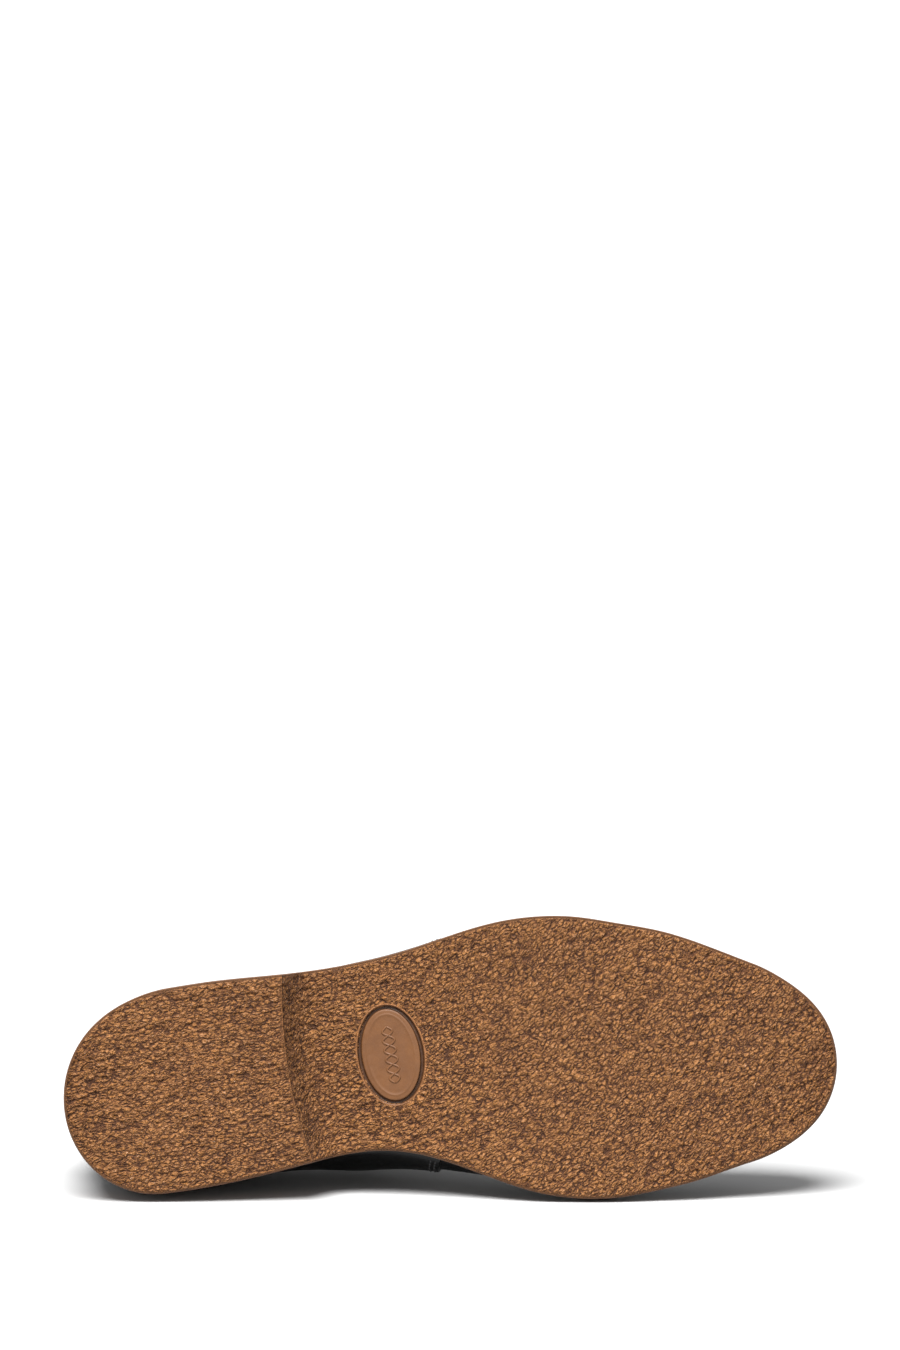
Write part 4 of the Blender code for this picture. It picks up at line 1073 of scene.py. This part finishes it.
def sole_piece():
    """The moulded sole: crepe relief over heel, waist and forepart inside a smooth rim, and plain sides."""
    places, shares = long_rungs(130, 26, 330), np.linspace(0, 1, 163)
    tread, values = dressed_tread(places, shares)
    layers = [tuple(np.moveaxis(tread, 2, 0))]
    edge_x, edge_y = rung_points(places, BOTH_EDGES, 0)
    edge_top = outsole_top(edge_x) - OUTSOLE_TOP_INSET
    edge_low = tread_height(edge_x, BOTH_EDGES, places) + TREAD_RIM_HEIGHT
    half_x, half_y = rung_points(places, BOTH_EDGES, 0.3 * TREAD_RIM_INSET)
    layers.append((half_x, half_y, edge_low - 0.72 * TREAD_RIM_HEIGHT))
    for share in np.linspace(0, 1, 5):
        layers.append((edge_x, edge_y, edge_low + (edge_top - edge_low) * share))
    top_x, top_y = rung_points(places, BOTH_EDGES, OUTSOLE_TOP_INSET)
    layers.append((top_x, top_y, outsole_top(top_x)))
    points, faces = rung_solid(layers)

    steps, columns = len(places) - 1, len(shares)
    kinds = (np.arange(len(faces)) >= steps * (columns - 1)).astype(int)
    kinds[steps * columns : steps * (columns + 2)] = 0
    rest = points[values["relief"].size :]
    rest_grain = np.stack([rest[:, 0] - rest[:, 1], rest[:, 2], rest[:, 1]], axis=-1)
    values = {
        "relief": np.append(values["relief"], np.full(len(rest), SMOOTH_RELIEF)),
        "rim": np.append(values["rim"], np.full(len(rest), 0.6)),
        "grain": np.vstack([values["grain"].reshape(-1, 3), rest_grain]),
    }
    materials = [CREPE, SOLE_SIDE]
    return new_piece("sole_crepe", points, faces, materials, "outsole", ["outsole"], kinds, values, sharp=50)


# The medallion from its lip to its middle, in millimetres: how far inside the oval's edge, and how deep
MEDALLION_PROFILE = table(
    "inset depth",
    *((-0.80, 0.60), (-0.72, 0.10), (-0.55, -0.04), (-0.25, -0.08), (0.00, -0.04), (0.10, 0.12)),
    *((0.18, 0.50), (0.30, 1.05), (0.50, 1.28), (0.90, 1.32), (1.30, 1.28), (1.52, 1.05), (1.62, 0.50)),
    *((1.72, 0.12), (1.90, -0.04), (2.25, -0.10), (3.00, -0.12), (3.25, -0.14), (3.45, -0.22)),
    *((3.70, -0.24), (3.95, -0.22), (4.15, -0.14), (5.00, -0.14), (8.00, -0.18), (11.50, -0.20)),
)
MEDALLION_BACK = (-0.4, 1.8)
LIP_ROWS = 3
# The depth that sets how dark the groove's painted shade gets
GROOVE_SHADE_DEPTH = 0.0012

# The twist on the plate: half width, half length, bead radius, and how far the plate lies out under it
TWIST_HALF_WIDTH = 0.0023
TWIST_HALF_LENGTH = 0.0112
BEAD_RADIUS = 0.00046
PLATE_LEVEL = 0.00018


def medallion_piece():
    """The oval plate under the waist: a thin lip, a deep groove darkened with painted shade and a slightly
    crowned plate.
    """
    angles = circle(128)
    count = len(angles)
    points, deep = [], []
    for inset, depth in [*zip(*MEDALLION_PROFILE.values()), MEDALLION_BACK]:
        inset, depth = inset / 1000, depth / 1000
        aside = (MEDALLION_HALF_WIDTH - inset) * np.cos(angles)
        ahead = (MEDALLION_HALF_LENGTH - inset) * np.sin(angles)
        points.append(on_medallion(aside, ahead, depth))
        # How deep the row lies, which sets the groove's painted shade
        deep.append(np.full(count, np.clip(depth / GROOVE_SHADE_DEPTH, 0, 1) if inset > 0 else 0))
    rows = np.arange(len(points) * count).reshape(len(points), count)
    faces = strips(rows[:-1]) + strips([rows[-1], rows[0]]) + [rows[-2].tolist(), rows[-1].tolist()]
    kinds = np.zeros(len(faces), int)
    kinds[: LIP_ROWS * count] = 1
    points = np.vstack(points)
    x, y, z = points.T
    values = {
        "deep": np.concatenate(deep),
        "relief": np.full(len(points), SMOOTH_RELIEF),
        "rim": np.full(len(points), 0.75),
        "grain": np.stack([x - y, x + y, z], axis=-1),
    }
    materials = [PLATE_RUBBER, CREPE]
    return new_piece("sole_medallion", points, faces, materials, "outsole", (), kinds, values, sharp=60)


def medallion_ornament():
    """A plain twist of two low raised beads along the plate."""
    run = np.linspace(-1, 1, 121)
    beads = []
    for phase in (-1, 1):
        aside = phase * TWIST_HALF_WIDTH * np.sin(run * 3 * math.pi) * np.sqrt(np.clip(1.02 - run**6, 0, 1))
        path = np.stack([aside, TWIST_HALF_LENGTH * run, np.zeros(run.size)], axis=-1)
        across = np.cross(unit(np.gradient(path, axis=0)), UP)
        radius = BEAD_RADIUS * np.sqrt(np.clip(1 - np.abs(run) ** 24, 0.02, 1))
        points, faces = tube(path, across, np.full_like(path, 0.8 * UP), radius[:, None], 10)
        beads.append((on_medallion(points[:, 0], points[:, 1], points[:, 2] - PLATE_LEVEL), faces))
    points, faces = joined(beads)
    return new_piece("sole_medallion_twist", points, faces, [PLATE_RUBBER], "outsole", sharp=80)


def midsole_piece():
    """The welt layer, with softly rounded edges."""
    places = long_rungs(70, 10, 190)
    layers = []
    for inset, surface, lift in (
        (0.0009, midsole_underside, 0),
        (0.0003, midsole_underside, 0.00015),
        (0.0, midsole_underside, 0.0007),
        (0.0, midsole_top, -0.0008),
        (0.0003, midsole_top, -0.0002),
        (0.0010, midsole_top, 0),
    ):
        x, y = rung_points(places, BOTH_EDGES, inset)
        layers.append((x, y, surface(x) + lift))
    points, faces = rung_solid(layers)
    return new_piece("welt", points, faces, [WELT_RUBBER], "midsole", ["midsole"])


# Upper


# Ring shares over which the overlays step down at their cut edges, and where the quarters' step starts
CUT_EDGE = 0.0014
SEAM_CUT = SEAM_RING - 0.0016

# Steps of a rib up to the facing's level and of the vamp's ribs from there, and how round the wall's edge is
UPPER_ROWS, CLOSED_ROWS = 46, 16
LAYERS = ("outer", "inner")
EDGE_ROLL = 0.45


def overlay_level(ring):
    """How far the quarters and the heel strap stand out from the vamp's level, with crisp cut edges."""
    seam = 1 - smooth_step(SEAM_CUT, SEAM_CUT + CUT_EDGE, ring)
    strap = 1 - smooth_step(BACKSTRAP_RING, BACKSTRAP_RING + CUT_EDGE, ring)
    return QUARTER_STEP * seam + BACKSTRAP_STEP * strap


def upper_rings():
    """Ring shares of the fine ribs of quarter and vamp, close together at the overlays' cut edges."""
    strap = np.linspace(0, BACKSTRAP_RING, 9)
    strap_edge = BACKSTRAP_RING + CUT_EDGE * np.array([0.3, 0.6, 1.0])
    quarter = np.linspace(BACKSTRAP_RING + 0.004, SEAM_RING - 0.006, 108)
    seam_edge = SEAM_CUT + CUT_EDGE * np.array([-1.0, 0.0, 0.25, 0.5, 0.75, 1.0])
    vamp = SEAM_RING + (1 - SEAM_RING) * np.linspace(0, 1, 116)
    return np.concatenate([strap, strap_edge, quarter, seam_edge]), vamp


# Bends that walking leaves across the vamp: place along the shoe, sweep, depth and width, in metres
VAMP_CREASES = table(
    "at sweep depth width",
    (0.1875, 0.006, 0.00042, 0.0017),
    (0.1975, 0.010, 0.00055, 0.0019),
    (0.2085, 0.013, 0.00040, 0.0018),
)


def leather_swell(point, ring):
    """Small departures of the leather from its smooth form: creases over the ball and a slight unevenness."""
    found = 0.00004 * math.sin(point[0] * 210 + 2.0) * math.sin(point[2] * 260 + point[1] * 130)
    if ring > SEAM_RING:
        aside = (point[1] - VAMP_RIBS["top_centre"][2] * BALL_WIDTH) / 0.03
        fade = math.exp(-(aside**4)) * float(smooth_step(SEAM_RING, SEAM_RING + 0.02, ring))
        for at, sweep, depth, width in zip(*VAMP_CREASES.values()):
            off = (point[0] - at - sweep * (1 - math.cos(aside * 1.3))) / width
            found -= depth * fade * math.exp(-(off**2))
            found += 0.55 * depth * fade * math.exp(-((off - 2.0) ** 2) / 2.2)
    return found


def wall_points(ribs):
    """Points of the wall's two layers, and their numbers by layer, rib and row. Both sides share a ridge."""
    normals = grid_normals(ribs, UPPER_ROWS)
    toe = len(ribs) // 2
    outside = math.copysign(1, normals[len(ribs) // 4][UPPER_ROWS // 2][1])
    points, numbers = [], {}
    for layer in LAYERS:
        for rib, (ring, line) in enumerate(ribs):
            level = float(overlay_level(ring))
            for row, point in enumerate(line):
                if row > UPPER_ROWS and row == len(line) - 1 and rib > toe:
                    numbers[layer, rib, row] = numbers[layer, 2 * toe - rib, row]
                    continue
                lift = level + leather_swell(point, ring) if layer == "outer" else -WALL
                moved = point + normals[rib][row] * outside * lift
                if row == 0:
                    moved[2] = float(midsole_top(moved[0])) + FIT_GAP
                numbers[layer, rib, row] = len(points)
                points.append(moved)
    return points, numbers


def top_edge(ribs):
    """Rib and row of each point along the collar, facings and throat, and the way up over the edge there."""
    count, toe, top = len(ribs), len(ribs) // 2, UPPER_ROWS
    seam = max(rib for rib in range(toe + 1) if len(ribs[rib][1]) == top + 1) + 1
    last = len(ribs[seam][1]) - 1
    loop = [(rib, top) for rib in range(seam + 1)]
    loop += [(seam, row) for row in range(top + 1, last + 1)]
    loop += [(count - seam, row) for row in range(last - 1, top - 1, -1)]
    loop += [(rib % count, top) for rib in range(count - seam + 1, count)]
    ways = []
    for rib, row in loop:
        line, ahead = ribs[rib][1], ribs[rib + 1 if rib <= toe else rib - 1][1]
        up, back = unit(line[row] - line[row - 1]), unit(line[row] - ahead[row])
        if row > top:
            up = back
        elif rib in (seam, count - seam):
            up = unit(up + back)
        ways.append(up)
    return loop, np.array(ways)


def upper_piece():
    """The whole upper as one wall, with rolled top edges, creases and a lining inside."""
    ribs = rib_grid(UPPER_ROWS, CLOSED_ROWS)
    points, numbers = wall_points(ribs)
    faces, kinds = [], []
    for rib, (_, line) in enumerate(ribs):
        after = (rib + 1) % len(ribs)
        for row in range(min(len(line), len(ribs[after][1])) - 1):
            for kind, layer in enumerate(LAYERS):
                corners = [(rib, row), (after, row), (after, row + 1), (rib, row + 1)]
                quad = list(dict.fromkeys(numbers[(layer, *corner)] for corner in corners))
                faces.append(quad if layer == "outer" else quad[::-1])
                kinds.append(kind)
        foot = [("outer", rib), ("outer", after), ("inner", after), ("inner", rib)]
        faces.append([numbers[(*corner, 0)] for corner in foot])
        kinds.append(0)

    loop, ways = top_edge(ribs)
    first, last = ([numbers[(layer, *place)] for place in loop] for layer in LAYERS)
    outer, inner = np.array(points)[first], np.array(points)[last]
    half = (outer - inner) / 2
    reach = EDGE_ROLL * np.linalg.norm(half, axis=1, keepdims=True)
    rims = [first]
    for turn in np.radians([25, 55, 90, 125, 155]):
        rims.append(list(len(points) + np.arange(len(loop))))
        points += list((outer + inner) / 2 + half * math.cos(turn) + ways * reach * math.sin(turn))
    strip = [list(dict.fromkeys(face)) for face in strips([*rims, last])]
    faces += strip
    kinds += [0] * len(strip)
    materials = [BLACK_LEATHER, LINING]
    return new_piece("upper_leather", points, faces, materials, "upper", ["upper"], kinds, sharp=55)


# Stitches


def skin(side, ring, share):
    """A point on the quarter's outer surface and the normal there."""
    point = curve_at(quarter_rib(side, ring), [share])[0]
    ahead = curve_at(quarter_rib(side, min(ring + 0.002, SEAM_RING)), [share])[0]
    behind = curve_at(quarter_rib(side, max(ring - 0.002, 0)), [share])[0]
    above, below = curve_at(quarter_rib(side, ring), [min(share + 0.01, 1), max(share - 0.01, 0)])
    normal = unit(np.cross(ahead - behind, above - below)) * -side
    return point + normal * float(overlay_level(ring)), normal


def line_below_top(side, rings, distance):
    """Points and normals a given distance below the quarter's top edge."""
    return [skin(side, ring, share_at_length(quarter_rib(side, ring), distance, True)) for ring in rings]


def line_up_rib(side, ring, low, high, count=24):
    return [skin(side, ring, share) for share in np.linspace(low, high, count)]


WELT_STITCH_INSET = 0.0021
WELT_STITCH_START = 0.40


def welt_line():
    """The stitching on the welt from waist to toe and back."""
    found = []
    for side in SIDES:
        half = []
        for ring in np.linspace(WELT_STITCH_START, 1.0, 150):
            (x, y), _ = edge_at_ring(side, ring, WELT_STITCH_INSET)
            half.append((np.array([x, y, float(midsole_top(x))]), UP))
        found += half if side == MEDIAL else half[::-1]
    return found


# A stitch from end to end: place along it, and thickness as a share of the thread's
STITCH_SHAPE = ((-0.5, 0.0), (-0.44, 0.7), (-0.25, 1.0), (0.0, 1.05), (0.25, 1.0), (0.44, 0.7), (0.5, 0.0))
STITCH_SIDES = 6


def stitch_piece(name, lines, pitch, length, radius, material, slot):
    """Rows of short stitches, each a small capsule half sunk into the surface."""
    points, faces = [], []
    for line in lines:
        path, normals = (np.array(column) for column in zip(*line))
        run = run_along(path)
        count = int(run[-1] / pitch)
        for centre in (np.arange(count) + 0.5) * run[-1] / count:
            middle = read_off(centre, run, path)
            along = unit(read_off(centre + length / 2, run, path) - read_off(centre - length / 2, run, path))
            up = unit(read_off(centre, run, normals))
            aside = np.cross(along, up)
            start = len(points)
            for share, out in STITCH_SHAPE:
                spine = middle + along * share * length + up * radius * (0.15 - 0.9 * (2 * abs(share)) ** 3)
                for turn in circle(STITCH_SIDES if out else 1):
                    points.append(spine + radius * out * (math.cos(turn) * aside + math.sin(turn) * up))
            last = len(points) - 1
            rings = np.arange(start + 1, last).reshape(-1, STITCH_SIDES)
            faces += strips(rings)
            for corner in range(STITCH_SIDES):
                after = (corner + 1) % STITCH_SIDES
                faces.append([start, rings[0][after], rings[0][corner]])
                faces.append([last, rings[-1][corner], rings[-1][after]])
    return new_piece(name, points, faces, [material], slot, sharp=80)


# Pitch, length and thread radius of the stitches
UPPER_STITCH = (0.0023, 0.0018, 0.00030)
WELT_STITCH = (0.0032, 0.0025, 0.00034)

# Rows below the top edge: first ring, ring share left before the seam, number of points and distance below it
TOP_ROWS = ((0.0, 0.008, 150, 0.0024), (0.378, 0.010, 60, 0.0042), (0.362, 0.008, 60, 0.0190))

# Rows up a rib: its ring, and the shares of the rib where the row starts and ends
RIB_ROWS = (
    (SEAM_RING - 0.0062, 0.03, 0.95),
    (SEAM_RING - 0.0118, 0.03, 0.95),
    (BACKSTRAP_RING - 0.0055, 0.04, 0.96),
)


def upper_stitches():
    """Rows along the top edge, the facings, the quarters' front edges and the heel strap."""
    lines = []
    for side in SIDES:
        for first, left, count, distance in TOP_ROWS:
            lines.append(line_below_top(side, np.linspace(first, SEAM_RING - left, count), distance))
        lines += [line_up_rib(side, *row) for row in RIB_ROWS]
    return stitch_piece("upper_stitches", lines, *UPPER_STITCH, BLACK_THREAD, "upper")


# Tongue, sock, eyelets and laces


# The tongue's end beyond the facings: how far it dips, and its width by share of the tongue's length
TONGUE_DIP = 0.0036
TONGUE_WIDTHS = ([0, 0.05, 0.6, 0.74, 0.88, 0.96, 1.0], [0.9, 1.0, 1.0, 0.9, 0.78, 0.68, 0.5])

# The tongue's round edge: shares of the way from its top to its underside, and of how far the edge stands out
TONGUE_EDGE = ((0.15, 0.55), (0.35, 0.9), (0.5, 1.0), (0.65, 0.9), (0.85, 0.55))
TONGUE_EDGE_REACH = 0.0009


def tongue_sections():
    """The closed instep's sections from under the vamp to the facings' top, and the tongue's free end."""
    under = np.linspace(SEAM_RING + 0.022, SEAM_RING + 0.001, 6)
    rings = np.concatenate([under, np.linspace(SEAM_RING - 0.003, TOP_RING, 34)])
    sections = np.array([instep_section(ring, TONGUE_HALF_WIDTH, 45) for ring in rings])
    way = unit(sections[-1] - sections[-4])
    down = -surface_normals(sections)[-1]
    beyond = []
    for share in np.linspace(0.08, 1, 12):
        beyond.append(sections[-1] + way * TONGUE_ABOVE_FACING * share + down * TONGUE_DIP * share**1.25)
    sections = np.concatenate([sections, beyond])
    middle = sections[:, sections.shape[1] // 2][:, None]
    widths = np.interp(np.linspace(0, 1, len(sections)), *TONGUE_WIDTHS)
    return middle + (sections - middle) * widths[:, None, None]


def tongue_piece():
    """The tongue, with soft round edges."""
    sections = tongue_sections()
    up = surface_normals(sections)
    depth = WALL + 2.5 * FIT_GAP
    top, bottom = sections - up * depth, sections - up * (depth + TONGUE_THICKNESS)
    along, across = top.shape[:2]
    border = [(0, c) for c in range(across)] + [(r, across - 1) for r in range(1, along)]
    border += [(along - 1, c) for c in range(across - 2, -1, -1)] + [(r, 0) for r in range(along - 2, 0, -1)]
    numbers = np.arange(along * across).reshape(along, across)
    faces = []
    for column in range(across - 1):
        quads = strip_faces(numbers[:, column], numbers[:, column + 1])
        faces += quads.tolist() + (quads + numbers.size).tolist()
    rims = [[numbers[place] for place in border]]
    extra = []
    for share, out in TONGUE_EDGE:
        rims.append(list(2 * numbers.size + len(extra) + np.arange(len(border))))
        for row, column in border:
            inner = min(max(row, 1), along - 2), min(max(column, 1), across - 2)
            outward = unit(top[row, column] - top[inner])
            spine = top[row, column] * (1 - share) + bottom[row, column] * share
            extra.append(spine + outward * out * TONGUE_EDGE_REACH)
    rims.append([numbers[place] + numbers.size for place in border])
    points = np.vstack([top.reshape(-1, 3), bottom.reshape(-1, 3), np.array(extra)])
    faces += strips(rims)
    return new_piece("tongue_leather", points, faces, [TONGUE_LEATHER], "tongue", ["tongue"], sharp=60)


# The sock: how far in its edge is rounded, how low the edge starts, and how far the sock is dished
SOCK_ROUNDING = 0.002
SOCK_EDGE_SHARE = 0.45
SOCK_DISH = 0.0006


def sock_edge(side):
    """The x and y of the line along the foot of the lining that the sock reaches, from heel to toe."""
    line = []
    for ring in np.linspace(0, 1, 240):
        foot, outward = foot_of_rib(side, ring)
        line.append((foot - outward * (WALL + 2 * FIT_GAP))[:2])
    return np.array(line).T


def sock_piece():
    """The sock inside the shoe, slightly dished, with a soft edge."""
    lateral, medial = sock_edge(LATERAL), sock_edge(MEDIAL)
    start, end = lateral[0][0], lateral[0][-1]
    rungs = start + (end - start) * long_rungs(60, 10, 150) / SOLE_LENGTH
    low, high = np.interp(rungs, *lateral), np.interp(rungs, *medial)
    shares = np.linspace(0, 1, 31)
    x = np.repeat(rungs[:, None], len(shares), axis=1)
    y = low[:, None] + (high - low)[:, None] * shares
    near = np.clip(np.minimum(shares, 1 - shares) * (y[:, -1:] - y[:, :1]) / SOCK_ROUNDING, 0, 1)
    level = SOCK_EDGE_SHARE + (1 - SOCK_EDGE_SHARE) * np.sqrt(near * (2 - near))
    dish = SOCK_DISH * np.sin(math.pi * shares) ** 2 * smooth_step(0.006, 0.03, x)
    z = midsole_top(x) + FIT_GAP + INSOLE_THICKNESS * level - dish
    low_x, low_y = x[:, [0, -1]], y[:, [0, -1]]
    seat = midsole_top(low_x) + FIT_GAP
    points, faces = rung_solid([(x, y, z), (low_x, low_y, seat + 0.0002), (low_x, low_y, seat)])
    return new_piece("sock", points, faces, [SOCK], "insole", ["insole"])


EYELET_SIDES = 40


def eyelet_piece(name, centre, axis):
    """A rolled metal ring with its barrel through the leather."""
    seat = FIT_GAP * 1.5
    low = -(WALL + QUARTER_STEP) * 0.8
    bore, flange = EYELET_BORE_RADIUS, EYELET_FLANGE_RADIUS
    profile = [
        (bore + 0.0001, low),
        (bore, low + 0.0004),
        (bore, seat - 0.0001),
        (bore + 0.00012, seat + 0.00035),
        (bore + 0.0004, seat + 0.00062),
        (bore + 0.0008, seat + EYELET_FLANGE_THICKNESS),
        (bore + 0.00115, seat + 0.00062),
        (flange - 0.00018, seat + 0.00038),
        (flange, seat + 0.0001),
        (flange - 0.0001, seat - 0.0003),
        (EYELET_BARREL_RADIUS, seat - 0.0003),
        (EYELET_BARREL_RADIUS, low),
    ]
    first = unit(np.cross(axis, (1.0, 0, 0)))
    second = np.cross(axis, first)
    points = []
    for turn in circle(EYELET_SIDES):
        out = math.cos(turn) * first + math.sin(turn) * second
        points += [centre + out * radius + axis * height for radius, height in profile]
    rows = np.arange(len(points)).reshape(EYELET_SIDES, len(profile))
    faces = strips([*rows, rows[0]])
    return new_piece(name + "_ring", points, faces, [ENAMEL], "eyelets", [name], sharp=50)


# The visible cord, the braid on it, and how far crossing cords part: their lift and its reach across
VISIBLE_LACE_RADIUS = 0.00112
LACE_SIDES = 16
BRAID_RUN = 0.00042
BRAID_DEPTH = 0.05
CROSSING_LIFT = 0.00118
CROSSING_REACH = 0.0040


def lace_path(start, end, over):
    """The middle of one stretch of lace: out of an eyelet, across the throat and down into the other one."""
    first, last = EYELET_RINGS[start[0]], EYELET_RINGS[end[0]]
    reach = EYELET_ACROSS
    high = QUARTER_STEP + 1.5 * FIT_GAP + EYELET_FLANGE_THICKNESS + VISIBLE_LACE_RADIUS + 0.0001
    stops = [(reach, -0.0030), (reach, -0.0008), (reach - 0.0004, 0.0016), (reach - 0.0020, high)]
    stops += [(share * reach, high - 0.0002) for share in (0.75, 0.5, 0.25)]
    line = [*stops, (0.0, high), *((-across, height) for across, height in reversed(stops))]
    points = []
    for across, height in line:
        share = (1 - across / reach) / 2
        if start[0] != end[0]:
            height += over * CROSSING_LIFT * math.exp(-((across / CROSSING_REACH) ** 2))
        points.append(on_instep(first + (last - first) * share, start[1] * across, height)[0])
    run = run_along(points)
    return natural_spline(run, points)(np.linspace(0, run[-1], 150))


def braided_tube(path, radius):
    """Points and faces of a round cord whose surface has a fine braid."""
    along = unit(np.gradient(path, axis=0))
    across = unit(np.cross(along, (0.3, 0.2, 0.93)))
    run, turns = run_along(path)[:, None] / BRAID_RUN, 4 * circle(LACE_SIDES)[None]
    braid = np.sin(turns + run) * np.sin(turns - run)
    return tube(path, across, np.cross(along, across), radius * (1 + BRAID_DEPTH * braid), LACE_SIDES)


def lace_piece():
    """Every stretch of lace that shows: one bar at the throat and the crossings above it."""
    strands = [((0, MEDIAL), (0, LATERAL), 0)]
    for row in range(EYELET_ROWS - 1):
        strands.append(((row, MEDIAL), (row + 1, LATERAL), 1))
        strands.append(((row, LATERAL), (row + 1, MEDIAL), -0.35))
    points, faces = joined(braided_tube(lace_path(*strand), VISIBLE_LACE_RADIUS) for strand in strands)
    return new_piece("lace_cord", points, faces, [LACE_CORD], "laces", ["laces"], sharp=80)


# Set: floor, light and camera. The middle of the tread shows at TREAD_PIXEL, at the scale of METRES_PER_PIXEL

FLOOR_SIZE = 60
TREAD_PIXEL = (451, 1056)
PICTURE_SIZE = (900, 1350)
METRES_PER_PIXEL = 0.0003876
CAMERA_DISTANCE = 7.0
CAMERA_OVER_TREAD = 0.6
SENSOR_WIDTH = 36
KEY_LIGHT_FROM = np.array([-0.14, -0.44, 0.87])
KEY_LIGHT_STRENGTH = 9.6
KEY_LIGHT_ANGLE = 42
SURROUND_STRENGTH = 1.05


def plain_floor():
    """A white floor under the shoe."""
    bpy.ops.mesh.primitive_plane_add(size=FLOOR_SIZE)
    floor = bpy.context.object
    floor.name = "floor"
    looks = Looks("white_floor", 0.9, specular=0.1)
    looks.colour(looks.ramp(looks.noise(0.6, 2), [(0.3, 0.40), (0.7, 0.42)]))
    floor.data.materials.append(looks.material)


def soft_light():
    """A white surround that is dimmer overhead, and a soft key light from the upper left in front."""
    world = bpy.data.worlds.new("studio")
    bpy.context.scene.world = world
    world.use_nodes = True
    nodes, links = world.node_tree.nodes, world.node_tree.links
    where = nodes.new("ShaderNodeTexCoord")
    split = nodes.new("ShaderNodeSeparateXYZ")
    ramp = nodes.new("ShaderNodeValToRGB")
    links.new(where.outputs["Generated"], split.inputs[0])
    links.new(split.outputs["Z"], ramp.inputs["Fac"])
    first, second = ramp.color_ramp.elements
    first.position, first.color = 0.16, (1, 1, 1, 1)
    second.position, second.color = 0.42, (0.60, 0.60, 0.605, 1)
    background = nodes["Background"]
    links.new(ramp.outputs[0], background.inputs["Color"])
    background.inputs["Strength"].default_value = SURROUND_STRENGTH
    sun = bpy.data.lights.new("key_light", "SUN")
    sun.energy = KEY_LIGHT_STRENGTH
    sun.angle = math.radians(KEY_LIGHT_ANGLE)
    key = bpy.data.objects.new("key_light", sun)
    bpy.context.scene.collection.objects.link(key)
    key.location = KEY_LIGHT_FROM
    key.rotation_euler = facing(-KEY_LIGHT_FROM)


def facing(way):
    """The rotation that turns an object's -z along a direction."""
    flat = math.hypot(way[0], way[1])
    return (math.atan2(flat, -way[2]), 0, math.atan2(way[1], way[0]) - math.pi / 2)


def photo_camera():
    """The photograph's camera, nearly along the tread's normal, with the shoe low in the frame."""
    tread_up = TURN @ -UP
    elevation = math.asin(tread_up[2]) + math.radians(CAMERA_OVER_TREAD)
    below = (TREAD_PIXEL[1] - PICTURE_SIZE[1] / 2) * METRES_PER_PIXEL
    drop = math.atan(below / CAMERA_DISTANCE)
    target = lay_down([SOLE_LENGTH / 2, 0, 0])
    aside = (TREAD_PIXEL[0] - PICTURE_SIZE[0] / 2) * METRES_PER_PIXEL
    camera = bpy.data.cameras.new("camera")
    camera.sensor_width = SENSOR_WIDTH
    camera.lens = SENSOR_WIDTH * CAMERA_DISTANCE * math.cos(drop) / (PICTURE_SIZE[1] * METRES_PER_PIXEL)
    camera.clip_end = 30
    shown = bpy.data.objects.new("camera", camera)
    bpy.context.scene.collection.objects.link(shown)
    shown.location = (
        target[0] - aside,
        target[1] - CAMERA_DISTANCE * math.cos(elevation),
        target[2] + CAMERA_DISTANCE * math.sin(elevation),
    )
    shown.rotation_euler = (math.pi / 2 - (elevation - drop), 0, 0)
    bpy.context.scene.camera = shown


def main():
    sole_piece()
    medallion_piece()
    medallion_ornament()
    midsole_piece()
    upper_piece()
    upper_stitches()
    stitch_piece("welt_stitches", [welt_line()], *WELT_STITCH, WELT_THREAD, "midsole")
    tongue_piece()
    sock_piece()
    for name, centre, axis in eyelet_places():
        eyelet_piece(name, centre, axis)
    lace_piece()
    plain_floor()
    soft_light()
    photo_camera()
    bpy.context.scene.view_settings.view_transform = "Standard"


main()
